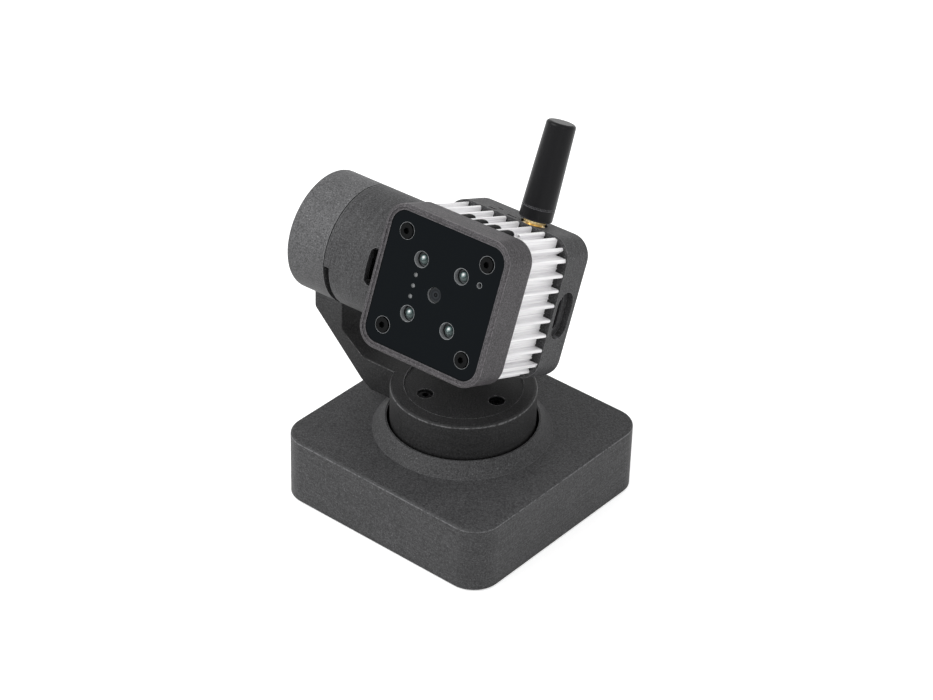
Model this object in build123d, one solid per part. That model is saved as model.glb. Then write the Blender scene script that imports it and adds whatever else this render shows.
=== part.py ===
import os

from build123d import *

# Millimetres, +Z up. The origin is on the surface the base stands on, under the pan axis.
# The base is square to X and Y. The camera looks along -Y, and its arm stands at -X.

# Pose in which the solids are written, in degrees
PAN_REST = 2.4
TILT_REST = 22.2

# Travel of the two axes, in degrees; the tilt is level when its angle is 0
TILT_TRAVEL = 175.0

# Base
BASE_SIDE = 71.0
BASE_TOP_Z = 20.0
BASE_CORNER = 8.0
BASE_WALL = 2.6
BASE_ROOF = 2.6
BASE_EDGE = 0.8
COLLAR_R = 24.7
COLLAR_RISE = 3.6
COLLAR_LIP = 0.5
DRUM_HOLE_GAP = 0.8
BOSS_R = 3.2
BOSS_INSET = 7.0

# Underside
RUBBER_SIDE = 50.0
RUBBER_CORNER = 5.0
RUBBER_STAND = 0.5
RUBBER_SUNK = 0.7
RUBBER_GAP = 0.1
PLATE_THICK = 3.0
PLATE_GAP = 0.2
PEDESTAL_R = 14.0
BASE_SCREW_REACH = 4.0
PAN_SCREW_DEPTH = 3.0

# Circuit board in the base
BOARD_THICK = 1.6
BOARD_WIDTH = 48.0
BOARD_POST_R = 2.4
BOARD_POST_RISE = 3.0
BOARD_POST_INSET = 3.5
BOARD_HOLE_GAP = 1.5
BOARD_BACK_GAP = 1.4
DRIVER_SIDE = 5.0
DRIVER_THICK = 0.9
DRIVER_PITCH = 9.0
DRIVER_AHEAD = 5.5

# Pan drum and arm
DRUM_R = 20.0
DRUM_TOP_Z = 34.0
DRUM_PLATE = 4.0
DRUM_WALL = 2.4
DRUM_SKIRT = 21.0
DRUM_EDGE = 0.9
POCKET_R = 16.2
POCKET_DEPTH = 0.4
DRUM_SCREW_CIRCLE = 11.2
DRUM_SCREW_DEPTH = 2.4
ARM_OUTER_X = 46.4
ARM_THICK = 9.8
ARM_HALF_WIDTH = 7.3
ARM_OUTER_BEND = 21.0
ARM_INNER_BEND = 24.6
FOOT_KNEE_X = 29.1
FOOT_HEEL_X = 29.9
FOOT_HEEL_RISE = 2.3
FOOT_SOLE_X = 26.6
FOOT_GAP = 0.6
ARM_ROUND = 1.5
ARM_EDGE = 0.4

# Tilt cylinder: a fixed cup on the arm and a turning drum on the camera
TILT_Z = 64.5
TILT_WALL = 2.0
TILT_MOTOR_GAP = 1.5
CUP_END_X = 48.1
CUP_END_WALL = 3.0
CUP_END_ROUND = 0.8
SEAM_X = 35.2
SEAM_GAP = 0.3
STOP_START = 18.0
STOP_LENGTH = 1.7
STOP_PIN_ANGLE = 6.0
STOP_CLEAR_ANGLE = 1.0
STOP_CLEAR = 0.3
STOP_ROOT = 1.0
TILT_END_WALL = 2.8
TILT_BOSS_R = 9.5
WINDOW_HALF = 5.2
WINDOW_CHAMFER = 1.0
HEAD_SCREW_FRONT = 4.5
HEAD_SCREW_BACK = 6.5
HEAD_SCREW_RISE = 10.8
HEAD_SCREW_REACH = 4.5
ROTOR_SCREW_SUNK = 0.2

# Brushless motors, one size for both axes
MOTOR_R = 13.5
FLANGE_R = 12.0
FLANGE_THICK = 2.0
BELL_WALL = 0.9
BELL_TOP = 2.0
BELL_SKIRT_GAP = 1.5
MAGNET_THICK = 1.0
MAGNET_LENGTH = 8.5
AIR_GAP = 0.3
CORE_HUB_R = 5.0
CORE_LENGTH = 7.5
CORE_START = 4.4
HUB_RISE = 1.5
ROTOR_HUB_GAP = 1.1
ROTOR_HUB = 1.5
SHAFT_START = 0.5
SHAFT_ROOM = 0.6
COIL_END_GAP = 0.6
COIL_TIP_GAP = 0.2
TOOTH_COUNT = 12
TOOTH_WIDTH = 1.4
TOOTH_SHOE = 0.9
TOOTH_SLOT = 0.8
TOOTH_SLOT_LENGTH = 4.0
COIL_WALL = 0.55
COIL_GAP = 0.05
SHAFT_R = 1.5
SHAFT_CLEAR = 0.05
BEARING_R = 3.5
BEARING_WIDTH = 2.5
FIT_GAP = 0.02
BEARING_GAP = 0.6
MOTOR_SCREW_CIRCLE = 8.0
ROTOR_SCREW_CIRCLE = 6.5

# Cap screws, one size throughout
SCREW_R = 1.0
SCREW_HEAD_R = 2.0
SCREW_HEAD = 2.0
SCREW_SOCKET = 1.6
SCREW_SOCKET_DEPTH = 1.1
SCREW_HEAD_GAP = 0.25
SCREW_SHANK_GAP = 0.1

# Camera head, measured from the middle of its front face
HEAD_SIDE = 40.0
HEAD_CORNER = 6.0
HEAD_X = 1.45
HEAD_FRONT = 17.7
COVER_DEPTH = 10.7
COVER_WALL = 1.7
COVER_EDGE = 0.5
LIP_WIDTH = 0.9
LIP_DEPTH = 0.35
PANEL_SUNK = 0.6
PANEL_THICK = 1.6
PANEL_GAP = 0.12
LEDGE_WIDTH = 1.4
PANEL_SCREW_PLACE = 13.07
PANEL_SCREW_REACH = 2.5
POST_R = 3.8
LAMP_X = 6.52
LAMP_Y = 7.5
LAMP_HOLE_R = 2.15
LAMP_BODY_R = 2.0
LAMP_DOME_R = 1.45
LAMP_CUP_R = 1.1
LAMP_CUP_FLOOR_R = 0.45
LAMP_CUP_DEPTH = 0.7
LENS_HOLE_R = 2.1
LENS_R = 1.8
LENS_SUNK = 0.7
LENS_GLASS_THICK = 0.6
LENS_IRIS_R = 0.55
LENS_IRIS_DEPTH = 1.0
LIGHT_X = 7.06
LIGHT_Y = 0.1
LIGHT_PITCH = 2.95
LIGHT_HOLE_R = 0.6
LIGHT_GAP = 0.05
LIGHT_SUNK = 0.3
SOUND_HOLE_X = 12.45
SOUND_HOLE_Y = 7.24
SOUND_HOLE_R = 0.7
LAMP_BOARD_BEHIND = 3.8
LAMP_BOARD_THICK = 1.2
BOARD_GAP = 0.4
BEHIND_PANEL = 0.2
BARREL_R = 3.3
BARREL_GAP = 0.2
LENS_MOUNT_SIDE = 9.0
LENS_MOUNT_HEIGHT = 2.5
SENSOR_BOARD_SIDE = 24.0
SENSOR_BOARD_THICK = 1.0
SENSOR_PAD_THICK = 1.1
SPACER_R = 1.5
SPACER_PLACE = 14.5

# Heatsink, from the back of the front cover to the rear cover
SINK_LENGTH = 17.5
SINK_INSET = 0.25
FIN_PITCH = 4.2
FIN_THICK = 1.0
FIN_HEIGHT = 2.6
FIN_ROOT = 1.0
FINS_PER_SIDE = 8
FIN_CORNER = 7.5
RIDGE_WIDTH = 0.35
RIDGE_HEIGHT = 0.16
RIDGE_PLACE = 0.75
SINK_BORE = 28.0
SINK_BORE_CORNER = 2.0
SINK_POST_R = 3.4
SINK_WEB_BEHIND = 3.0
SINK_WEB = 2.0
PIN_SET_BACK = 5.6
PIN_BOSS_R = 0.65
PIN_HOLE_R = 0.35
PIN_HOLE_DEPTH = 3.0

# Fingers of the front cover's comb, which lie in the top channels of the heatsink
FINGER_LENGTH = 5.5
FINGER_GAP = 0.2
FINGER_LOW = 0.45
FINGER_EDGE = 0.8
FINGER_ROOT = 0.5
FINGER_CHANNELS = (-1, 0, 1, 2)

# Boards behind the heatsink web
PAD_SIDE = 13.0
PAD_THICK = 0.8
CHIP_SIDE = 12.0
CHIP_THICK = 1.6
MAIN_BOARD_SIDE = 26.5
MAIN_BOARD_THICK = 1.2

# Rear cover
REAR_DEPTH = 10.8
REAR_WALL = 2.8
REAR_BACK = 2.0
REAR_EDGE = 1.0
REAR_SCREW_REACH = 5.0
REAR_SCREW_SUNK = 0.3
REAR_POST_WALL = 1.6
PORT_Y = -0.8
PORT_FROM_BACK = 5.9
PORT_LONG = 13.3
PORT_WIDE = 7.2
PORT_SUNK = 2.0
SOCKET_LONG = 9.0
SOCKET_WIDE = 3.2
SOCKET_SHELL = 0.35
SOCKET_LENGTH = 7.3
SOCKET_GAP = 0.25
TONGUE_WIDTH = 6.6
TONGUE_THICK = 0.7
TONGUE_SUNK = 1.0
SOCKET_PAD = 1.2
SOCKET_PAD_LONG = 16.0
BACK_BOARD_WIDTH = 29.0
BACK_BOARD_HEIGHT = 24.0
BACK_BOARD_THICK = 1.2
BACK_BOARD_GAP = 0.3
PILLAR_INSET_X = 7.0
PILLAR_INSET_Y = 2.0
PILLAR_R = 1.5
PILLAR_POST_GAP = 1.67
# Slots through the top: place across, place behind the seam, length, width
TOP_SLOTS = [(-7.6, 1.7, 2.6, 1.2), (-6.6, 4.3, 1.8, 0.9), (-1.1, 1.6, 3.2, 1.1), (1.4, 3.4, 1.2, 0.8)]

# Antenna
ANTENNA_X = 4.75
ANTENNA_BEHIND = 3.8
CONNECTOR_R = 3.1
CONNECTOR_RISE = 1.25
CONNECTOR_NECK_R = 2.5
CONNECTOR_HEX = 5.8
CONNECTOR_HEX_TOP = -0.4
CONNECTOR_HEX_THICK = 1.4
CONNECTOR_RIM = 1.0
CONNECTOR_INSIDE = 5.0
CONNECTOR_ROOM = 0.6
ANTENNA_BASE_R = 4.6
ANTENNA_TIP_R = 4.05
ANTENNA_LENGTH = 26.9
ANTENNA_COLLAR = 3.35
ANTENNA_GROOVE = 0.35
ANTENNA_EDGE = 0.3
ANTENNA_TIP_ROUND = 0.9

# Places worked out from the sizes above
SOLE_Z = RUBBER_STAND
PLATE_TOP_Z = SOLE_Z + PLATE_THICK
HOLE_R = DRUM_R + DRUM_HOLE_GAP
COLLAR_TOP_Z = BASE_TOP_Z + COLLAR_RISE
DRUM_ROOF_Z = DRUM_TOP_Z - DRUM_PLATE
HUB_TOP = CORE_START + CORE_LENGTH + HUB_RISE
MOTOR_LENGTH = HUB_TOP + ROTOR_HUB_GAP + ROTOR_HUB + BELL_TOP
PAN_FLOOR_Z = DRUM_ROOF_Z - MOTOR_LENGTH
TILT_R = MOTOR_R + TILT_MOTOR_GAP + TILT_WALL
BOARD_Z = PLATE_TOP_Z + BOARD_POST_RISE
BOARD_TOP_Z = BOARD_Z + BOARD_THICK
BOSS_PLACE = BASE_SIDE / 2 - BOSS_INSET
BOARD_POST_PLACE = BOARD_WIDTH / 2 - BOARD_POST_INSET
INNER_HALF = BASE_SIDE / 2 - BASE_WALL
HEAD_HALF = HEAD_SIDE / 2
HEAD_LEFT_X = HEAD_X - HEAD_HALF
FIN_TIP = HEAD_HALF - SINK_INSET
SINK_HALF = FIN_TIP - FIN_HEIGHT
PANEL_BACK = PANEL_SUNK + PANEL_THICK
LAMP_TOP = PANEL_BACK + BEHIND_PANEL
LAMP_BOARD_DEPTH = PANEL_BACK + LAMP_BOARD_BEHIND
SINK_BACK = COVER_DEPTH + SINK_LENGTH
SINK_WEB_DEPTH = COVER_DEPTH + SINK_WEB_BEHIND
SENSOR_BOARD_DEPTH = SINK_WEB_DEPTH - SENSOR_PAD_THICK - SENSOR_BOARD_THICK
LENS_MOUNT_DEPTH = SENSOR_BOARD_DEPTH - LENS_MOUNT_HEIGHT
HEAD_DEPTH = SINK_BACK + REAR_DEPTH
PORT_DEPTH = HEAD_DEPTH - PORT_FROM_BACK
ANTENNA_DEPTH = SINK_BACK + ANTENNA_BEHIND
STATOR_R = MOTOR_R - BELL_WALL - MAGNET_THICK - AIR_GAP
TILT_FLOOR_X = -CUP_END_X + CUP_END_WALL
TILT_BELL_X = TILT_FLOOR_X + MOTOR_LENGTH
DRUM_START_X = -SEAM_X + SEAM_GAP
REAR_BACK_DEPTH = HEAD_DEPTH - REAR_BACK
BACK_BOARD_DEPTH = PORT_DEPTH + SOCKET_WIDE / 2 + SOCKET_SHELL

# Frames: the pan frame turns on the base, the head frame tilts in the pan frame
PAN = Rot(0, 0, PAN_REST)
HEAD = PAN * Pos(0, 0, TILT_Z) * Rot(-TILT_REST, 0, 0)
# Local Z runs out of the front face, local Y is up, depth is -Z
FRONT = HEAD * Plane(origin=(HEAD_X, -HEAD_FRONT, 0), x_dir=(1, 0, 0), z_dir=(0, -1, 0)).location
# Local Z is the tilt axis, local X points forward, angles grow from forward to down
AXLE = Plane(origin=(0, 0, 0), x_dir=(0, -1, 0), z_dir=(1, 0, 0)).location
PAN_AXLE = PAN * Pos(0, 0, TILT_Z) * AXLE
HEAD_AXLE = HEAD * AXLE


def rod(radius, z0, z1):
    return Pos(0, 0, (z0 + z1) / 2) * Cylinder(radius, z1 - z0)


def tube(r_in, r_out, z0, z1):
    return rod(r_out, z0, z1) - rod(r_in, z0, z1)


def slab(width, height, corner, z0, z1):
    return Pos(0, 0, z0) * extrude(RectangleRounded(width, height, corner), z1 - z0)


def block(x0, x1, y0, y1, z0, z1):
    centre = Pos((x0 + x1) / 2, (y0 + y1) / 2, (z0 + z1) / 2)
    return centre * Box(x1 - x0, y1 - y0, z1 - z0)


def turned(*points):
    return revolve(make_face(Polyline(*[(r, 0, z) for r, z in points], close=True)), Axis.Z)


def sector(r_in, r_out, z0, z1, start, arc):
    outline = Polyline((r_in, 0, z0), (r_out, 0, z0), (r_out, 0, z1), (r_in, 0, z1), close=True)
    return Rot(0, 0, start) * revolve(make_face(outline), Axis.Z, arc)


def joined(solids):
    first, *rest = solids
    return first + rest if rest else first


def corners(place_x, place_y):
    return [Pos(sx * place_x, sy * place_y, 0) for sx in (-1, 1) for sy in (-1, 1)]


def ring(radius, count, start=0.0):
    return [Rot(0, 0, start + 360 / count * n) * Pos(radius, 0, 0) for n in range(count)]


# Screws: the seat of the head is at local Z 0, the head stands up from it
def cap_screw(length):
    socket = extrude(RegularPolygon(SCREW_SOCKET / 2, 6, major_radius=False), SCREW_SOCKET_DEPTH)
    body = rod(SCREW_HEAD_R, 0, SCREW_HEAD) + rod(SCREW_R, -length, 0)
    return body - Pos(0, 0, SCREW_HEAD - SCREW_SOCKET_DEPTH) * socket


def screw_cut(length, mouth):
    shank = rod(SCREW_R + SCREW_SHANK_GAP, -length - SCREW_SHANK_GAP, 0)
    return shank + rod(SCREW_HEAD_R + SCREW_HEAD_GAP, 0, mouth)


DOWN = Rot(180, 0, 0)
BASE_SCREW_SEAT = SOLE_Z + SCREW_HEAD
BASE_SCREW_LENGTH = PLATE_THICK + BASE_SCREW_REACH
PAN_SCREW_SEAT = PAN_FLOOR_Z - PAN_SCREW_DEPTH
PAN_SCREW_LENGTH = PAN_SCREW_DEPTH + FLANGE_THICK - BEARING_GAP
DRUM_SCREW_SEAT = DRUM_TOP_Z - POCKET_DEPTH - DRUM_SCREW_DEPTH
DRUM_SCREW_LENGTH = DRUM_SCREW_SEAT - DRUM_ROOF_Z + BELL_TOP - FIT_GAP


def base_screw_places():
    return [place * Pos(0, 0, BASE_SCREW_SEAT) * DOWN for place in corners(BOSS_PLACE, BOSS_PLACE)]


def pan_screw_places():
    return [p * Pos(0, 0, PAN_SCREW_SEAT) * DOWN for p in ring(MOTOR_SCREW_CIRCLE, 4, 45)]


def drum_screw_places():
    return [p * Pos(0, 0, DRUM_SCREW_SEAT) for p in ring(DRUM_SCREW_CIRCLE, 3)]


# Base
def base_housing():
    shell = slab(BASE_SIDE, BASE_SIDE, BASE_CORNER, SOLE_Z, BASE_TOP_Z)
    shell = fillet(shell.faces().sort_by(Axis.Z)[-1].edges(), BASE_EDGE)
    inner = BASE_SIDE - 2 * BASE_WALL
    shell -= slab(inner, inner, BASE_CORNER - BASE_WALL, SOLE_Z, BASE_TOP_Z - BASE_ROOF)
    shell += turned(
        (HOLE_R, BASE_TOP_Z - BASE_ROOF), (COLLAR_R, BASE_TOP_Z - BASE_ROOF), (COLLAR_R, BASE_TOP_Z),
        (HOLE_R + COLLAR_LIP, COLLAR_TOP_Z), (HOLE_R, COLLAR_TOP_Z),
    )
    shell -= rod(HOLE_R, SOLE_Z, COLLAR_TOP_Z)
    shell += [p * rod(BOSS_R, PLATE_TOP_Z, BASE_TOP_Z - BASE_ROOF) for p in corners(BOSS_PLACE, BOSS_PLACE)]
    shell -= [place * screw_cut(BASE_SCREW_LENGTH, 0.1) for place in base_screw_places()]
    return shell - power_port(SOCKET_GAP, BASE_WALL * 2)


def base_bottom_plate():
    side = BASE_SIDE - 2 * BASE_WALL - 2 * PLATE_GAP
    plate = slab(side, side, BASE_CORNER - BASE_WALL - PLATE_GAP, SOLE_Z, PLATE_TOP_Z)
    plate += rod(PEDESTAL_R, SOLE_Z, PAN_FLOOR_Z)
    plate += [p * rod(BOARD_POST_R, SOLE_Z, BOARD_Z) for p in corners(BOARD_POST_PLACE, BOARD_POST_PLACE)]
    recess = RUBBER_SIDE + 2 * RUBBER_GAP
    plate -= slab(recess, recess, RUBBER_CORNER + RUBBER_GAP, SOLE_Z, SOLE_Z + RUBBER_SUNK)
    plate -= [place * screw_cut(BASE_SCREW_LENGTH, SCREW_HEAD) for place in base_screw_places()]
    plate -= [place * screw_cut(PAN_SCREW_LENGTH, PAN_FLOOR_Z) for place in pan_screw_places()]
    return plate - board_screw_holes()


def rubber_sole():
    sole = slab(RUBBER_SIDE, RUBBER_SIDE, RUBBER_CORNER, 0, SOLE_Z + RUBBER_SUNK)
    return chamfer(sole.faces().sort_by(Axis.Z)[0].edges(), RUBBER_STAND / 2)


def base_screws():
    return joined([place * cap_screw(BASE_SCREW_LENGTH) for place in base_screw_places()])


def board_screw_holes():
    hole = Pos(0, 0, BOARD_TOP_Z) * screw_cut(BOARD_THICK + BOARD_POST_RISE, SCREW_HEAD)
    return [p * hole for p in corners(BOARD_POST_PLACE, BOARD_POST_PLACE)]


def base_circuit_board():
    back = INNER_HALF - BOARD_BACK_GAP
    front = -BOARD_WIDTH / 2
    board = block(-BOARD_WIDTH / 2, BOARD_WIDTH / 2, front, back, BOARD_Z, BOARD_TOP_Z)
    board -= rod(PEDESTAL_R + BOARD_HOLE_GAP, BOARD_Z, BOARD_TOP_Z)
    return board - board_screw_holes()


def base_board_screws():
    screw = Pos(0, 0, BOARD_TOP_Z) * cap_screw(BOARD_THICK + BOARD_POST_RISE)
    return joined([p * screw for p in corners(BOARD_POST_PLACE, BOARD_POST_PLACE)])


def motor_driver_chips():
    chip = slab(DRIVER_SIDE, DRIVER_SIDE, 0.3, BOARD_TOP_Z, BOARD_TOP_Z + DRIVER_THICK)
    ahead = -PEDESTAL_R - DRIVER_AHEAD
    return joined([Pos(DRIVER_PITCH * n, ahead, 0) * chip for n in (-1, 0, 1)])


def power_port(gap, depth):
    # Local Z points out of the back of the base
    shape = SlotOverall(SOCKET_LONG + 2 * gap, SOCKET_WIDE + 2 * gap)
    centre_z = BOARD_TOP_Z + SOCKET_WIDE / 2
    out = Plane(origin=(0, BASE_SIDE / 2, centre_z), x_dir=(1, 0, 0), z_dir=(0, 1, 0)).location
    return out * Pos(0, 0, -depth) * extrude(shape, depth)


def socket_shell():
    # Local Z runs out of the mouth, which is at Z 0
    shell = Pos(0, 0, -SOCKET_LENGTH) * extrude(SlotOverall(SOCKET_LONG, SOCKET_WIDE), SOCKET_LENGTH)
    hollow = SlotOverall(SOCKET_LONG - 2 * SOCKET_SHELL, SOCKET_WIDE - 2 * SOCKET_SHELL)
    shell -= Pos(0, 0, SOCKET_SHELL - SOCKET_LENGTH) * extrude(hollow, SOCKET_LENGTH)
    half, thick = TONGUE_WIDTH / 2, TONGUE_THICK / 2
    return shell + block(-half, half, -thick, thick, SOCKET_SHELL - SOCKET_LENGTH, -TONGUE_SUNK)


def base_power_socket():
    mouth_y = INNER_HALF + BASE_WALL / 2
    centre_z = BOARD_TOP_Z + SOCKET_WIDE / 2
    out = Plane(origin=(0, mouth_y, centre_z), x_dir=(1, 0, 0), z_dir=(0, 1, 0)).location
    return out * socket_shell()


# Motors, standing on local Z 0 with the shaft along Z
def motor_stator():
    core = Circle(CORE_HUB_R)
    core += [Rot(0, 0, 360 / TOOTH_COUNT * n) * Pos(STATOR_R / 2, 0) * Rectangle(STATOR_R - 1, TOOTH_WIDTH)
             for n in range(TOOTH_COUNT)]
    shoes = Circle(STATOR_R) - Circle(STATOR_R - TOOTH_SHOE)
    slot = Pos(STATOR_R, 0) * Rectangle(TOOTH_SLOT_LENGTH, TOOTH_SLOT)
    shoes -= [Rot(0, 0, 360 / TOOTH_COUNT * (n + 0.5)) * slot for n in range(TOOTH_COUNT)]
    body = Pos(0, 0, CORE_START) * extrude(core + shoes, CORE_LENGTH)
    body += rod(FLANGE_R, 0, FLANGE_THICK) + rod(CORE_HUB_R, 0, HUB_TOP)
    body -= rod(SHAFT_R + SHAFT_ROOM, 0, HUB_TOP)
    body -= rod(BEARING_R + FIT_GAP, 0, BEARING_WIDTH)
    body -= rod(BEARING_R + FIT_GAP, HUB_TOP - BEARING_WIDTH, HUB_TOP)
    holes = [p * rod(SCREW_R + SCREW_SHANK_GAP, 0, FLANGE_THICK) for p in ring(MOTOR_SCREW_CIRCLE, 4, 45)]
    return body - holes


def motor_windings():
    start = CORE_HUB_R + COIL_END_GAP
    end = STATOR_R - TOOTH_SHOE - COIL_TIP_GAP
    half = TOOTH_WIDTH / 2 + COIL_GAP
    low, high = CORE_START - COIL_GAP, CORE_START + CORE_LENGTH + COIL_GAP
    coil = block(start, end, -half - COIL_WALL, half + COIL_WALL, low - COIL_WALL, high + COIL_WALL)
    coil -= block(start, end, -half, half, low, high)
    return joined([Rot(0, 0, 360 / TOOTH_COUNT * n) * coil for n in range(TOOTH_COUNT)])


def motor_bearings():
    race = tube(SHAFT_R + SHAFT_CLEAR, BEARING_R, 0, BEARING_WIDTH)
    return race + Pos(0, 0, HUB_TOP - BEARING_WIDTH) * race


def motor_rotor(screw_circle, screw_count):
    skirt = tube(MOTOR_R - BELL_WALL, MOTOR_R, FLANGE_THICK + BELL_SKIRT_GAP, MOTOR_LENGTH)
    bell = skirt + rod(MOTOR_R, MOTOR_LENGTH - BELL_TOP, MOTOR_LENGTH)
    bell += rod(CORE_HUB_R, MOTOR_LENGTH - BELL_TOP - ROTOR_HUB, MOTOR_LENGTH)
    bell += rod(SHAFT_R, SHAFT_START, MOTOR_LENGTH - BELL_TOP)
    hole = rod(SCREW_R + SCREW_SHANK_GAP, MOTOR_LENGTH - BELL_TOP, MOTOR_LENGTH)
    return bell - [p * hole for p in ring(screw_circle, screw_count)]


def motor_magnets():
    outer = MOTOR_R - BELL_WALL - FIT_GAP
    start = CORE_START + (CORE_LENGTH - MAGNET_LENGTH) / 2
    return tube(outer - MAGNET_THICK + FIT_GAP, outer, start, start + MAGNET_LENGTH)


PAN_MOTOR = Pos(0, 0, PAN_FLOOR_Z)
TILT_MOTOR = Pos(0, 0, TILT_FLOOR_X)


def pan_motor_screws():
    return joined([place * cap_screw(PAN_SCREW_LENGTH) for place in pan_screw_places()])


# Pan bracket: drum, foot, arm and motor cup in one print
def arm_outline():
    inner = -ARM_OUTER_X + ARM_THICK
    under = COLLAR_TOP_Z + FOOT_GAP
    inside_cup = TILT_Z - TILT_R / 2
    inside_drum = -DRUM_R + 2 * DRUM_WALL
    points = [
        (-ARM_OUTER_X, inside_cup), (-ARM_OUTER_X, TILT_Z - ARM_OUTER_BEND),
        (-FOOT_HEEL_X, under + FOOT_HEEL_RISE), (-FOOT_SOLE_X, under), (inside_drum, under),
        (inside_drum, DRUM_TOP_Z), (-FOOT_KNEE_X, DRUM_TOP_Z),
        (inner, TILT_Z - ARM_INNER_BEND), (inner, inside_cup),
    ]
    face = make_face(Polyline(*points, close=True))
    bends = [v for v in face.vertices() if v.X < -FOOT_SOLE_X - 1 and v.Y < inside_cup - 1]
    return fillet(bends, ARM_ROUND)


def pan_bracket():
    upright = Plane(origin=(0, ARM_HALF_WIDTH, 0), x_dir=(1, 0, 0), z_dir=(0, -1, 0)).location
    arm = upright * extrude(arm_outline(), 2 * ARM_HALF_WIDTH)
    sides = arm.faces().sort_by(Axis.Y)
    arm = fillet(sides[0].edges() + sides[-1].edges(), ARM_EDGE)
    drum = rod(DRUM_R, DRUM_TOP_Z - DRUM_SKIRT, DRUM_TOP_Z)
    drum = fillet(drum.faces().sort_by(Axis.Z)[-1].edges(), DRUM_EDGE)
    at_axis = Pos(0, 0, TILT_Z) * AXLE
    cup = rod(TILT_R, -CUP_END_X, -SEAM_X)
    cup = fillet(cup.faces().sort_by(Axis.Z)[0].edges(), CUP_END_ROUND)
    bracket = drum + arm + at_axis * cup
    bracket -= rod(DRUM_R - DRUM_WALL, DRUM_TOP_Z - DRUM_SKIRT, DRUM_ROOF_Z)
    bracket -= rod(POCKET_R, DRUM_TOP_Z - POCKET_DEPTH, DRUM_TOP_Z)
    bracket -= [place * screw_cut(DRUM_SCREW_LENGTH, DRUM_SCREW_DEPTH) for place in drum_screw_places()]
    bracket -= at_axis * rod(TILT_R - TILT_WALL, TILT_FLOOR_X, -SEAM_X)
    bracket -= [at_axis * place * screw_cut(TILT_SCREW_LENGTH, CUP_END_WALL) for place in tilt_screw_places()]
    return bracket + at_axis * stop_pin()


TILT_SCREW_SEAT = -CUP_END_X + SCREW_HEAD
TILT_SCREW_LENGTH = CUP_END_WALL - SCREW_HEAD + FLANGE_THICK - FIT_GAP


def tilt_screw_places():
    return [p * Pos(0, 0, TILT_SCREW_SEAT) * DOWN for p in ring(MOTOR_SCREW_CIRCLE, 4, 45)]


def tilt_motor_screws():
    return joined([place * cap_screw(TILT_SCREW_LENGTH) for place in tilt_screw_places()])


def drum_screws():
    return joined([place * cap_screw(DRUM_SCREW_LENGTH) for place in drum_screw_places()])


# Travel stop: a pin on the cup runs in a slot cut round the turning drum's edge
def stop_pin_start():
    lowest_travel = TILT_TRAVEL / 2 + TILT_REST
    return STOP_START - TILT_REST + lowest_travel + STOP_CLEAR_ANGLE


def stop_pin():
    inner, outer = TILT_R - TILT_WALL + STOP_CLEAR / 2, TILT_R - STOP_CLEAR / 2
    end = DRUM_START_X + STOP_LENGTH - STOP_CLEAR
    return sector(inner, outer, -SEAM_X - STOP_ROOT, end, stop_pin_start(), STOP_PIN_ANGLE)


def stop_slot():
    arc = TILT_TRAVEL + STOP_PIN_ANGLE + 2 * STOP_CLEAR_ANGLE
    inner, outer = TILT_R - TILT_WALL - 1, TILT_R + 1
    return sector(inner, outer, DRUM_START_X - 1, DRUM_START_X + STOP_LENGTH, STOP_START, arc)


# Turning drum on the left of the camera
HEAD_SCREW_LENGTH = TILT_END_WALL + HEAD_SCREW_REACH
ROTOR_SCREW_SEAT = HEAD_LEFT_X - SCREW_HEAD - ROTOR_SCREW_SUNK
ROTOR_SCREW_LENGTH = ROTOR_SCREW_SEAT - TILT_BELL_X + BELL_TOP - FIT_GAP


def head_screw_places():
    # Heads inside the drum, shanks into the heatsink, in the axle frame
    seat = HEAD_LEFT_X - TILT_END_WALL
    return [Pos(forward, down, seat) * DOWN
            for forward in (HEAD_SCREW_FRONT, -HEAD_SCREW_BACK) for down in (-HEAD_SCREW_RISE, HEAD_SCREW_RISE)]


def rotor_screw_places():
    return [p * Pos(0, 0, ROTOR_SCREW_SEAT) for p in ring(ROTOR_SCREW_CIRCLE, 4)]


def window_cut():
    # Local X runs out along the tilt axis, local Y is up, extruded forward from the boss
    left = HEAD_LEFT_X - TILT_END_WALL
    outline = Polyline(
        (HEAD_LEFT_X + 1, -WINDOW_HALF), (left + WINDOW_CHAMFER, -WINDOW_HALF),
        (left, WINDOW_CHAMFER - WINDOW_HALF), (left, WINDOW_HALF - WINDOW_CHAMFER),
        (left + WINDOW_CHAMFER, WINDOW_HALF), (HEAD_LEFT_X + 1, WINDOW_HALF),
        close=True,
    )
    start = Plane(origin=(0, -TILT_BOSS_R - 0.5, 0), x_dir=(1, 0, 0), z_dir=(0, -1, 0)).location
    return start * extrude(make_face(outline), TILT_R)


def tilt_drum():
    drum = tube(TILT_R - TILT_WALL, TILT_R, DRUM_START_X, HEAD_LEFT_X)
    drum += rod(TILT_R - TILT_WALL / 2, HEAD_LEFT_X - TILT_END_WALL, HEAD_LEFT_X)
    drum += rod(TILT_BOSS_R, TILT_BELL_X, HEAD_LEFT_X)
    drum -= stop_slot()
    drum -= [place * screw_cut(HEAD_SCREW_LENGTH, 0.1) for place in head_screw_places()]
    drum -= [place * screw_cut(ROTOR_SCREW_LENGTH, SCREW_HEAD + 1) for place in rotor_screw_places()]
    return HEAD * (AXLE * drum - window_cut())


def rotor_screws():
    return HEAD_AXLE * joined([place * cap_screw(ROTOR_SCREW_LENGTH) for place in rotor_screw_places()])


def head_mount_screws():
    return HEAD_AXLE * joined([place * cap_screw(HEAD_SCREW_LENGTH) for place in head_screw_places()])


# Camera head, in the front frame: X right, Y up, Z out of the front face
def square(half, corner, depth0, depth1):
    return slab(2 * half, 2 * half, corner, -depth1, -depth0)


def at_corners(solid):
    return [p * solid for p in corners(PANEL_SCREW_PLACE, PANEL_SCREW_PLACE)]


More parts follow.
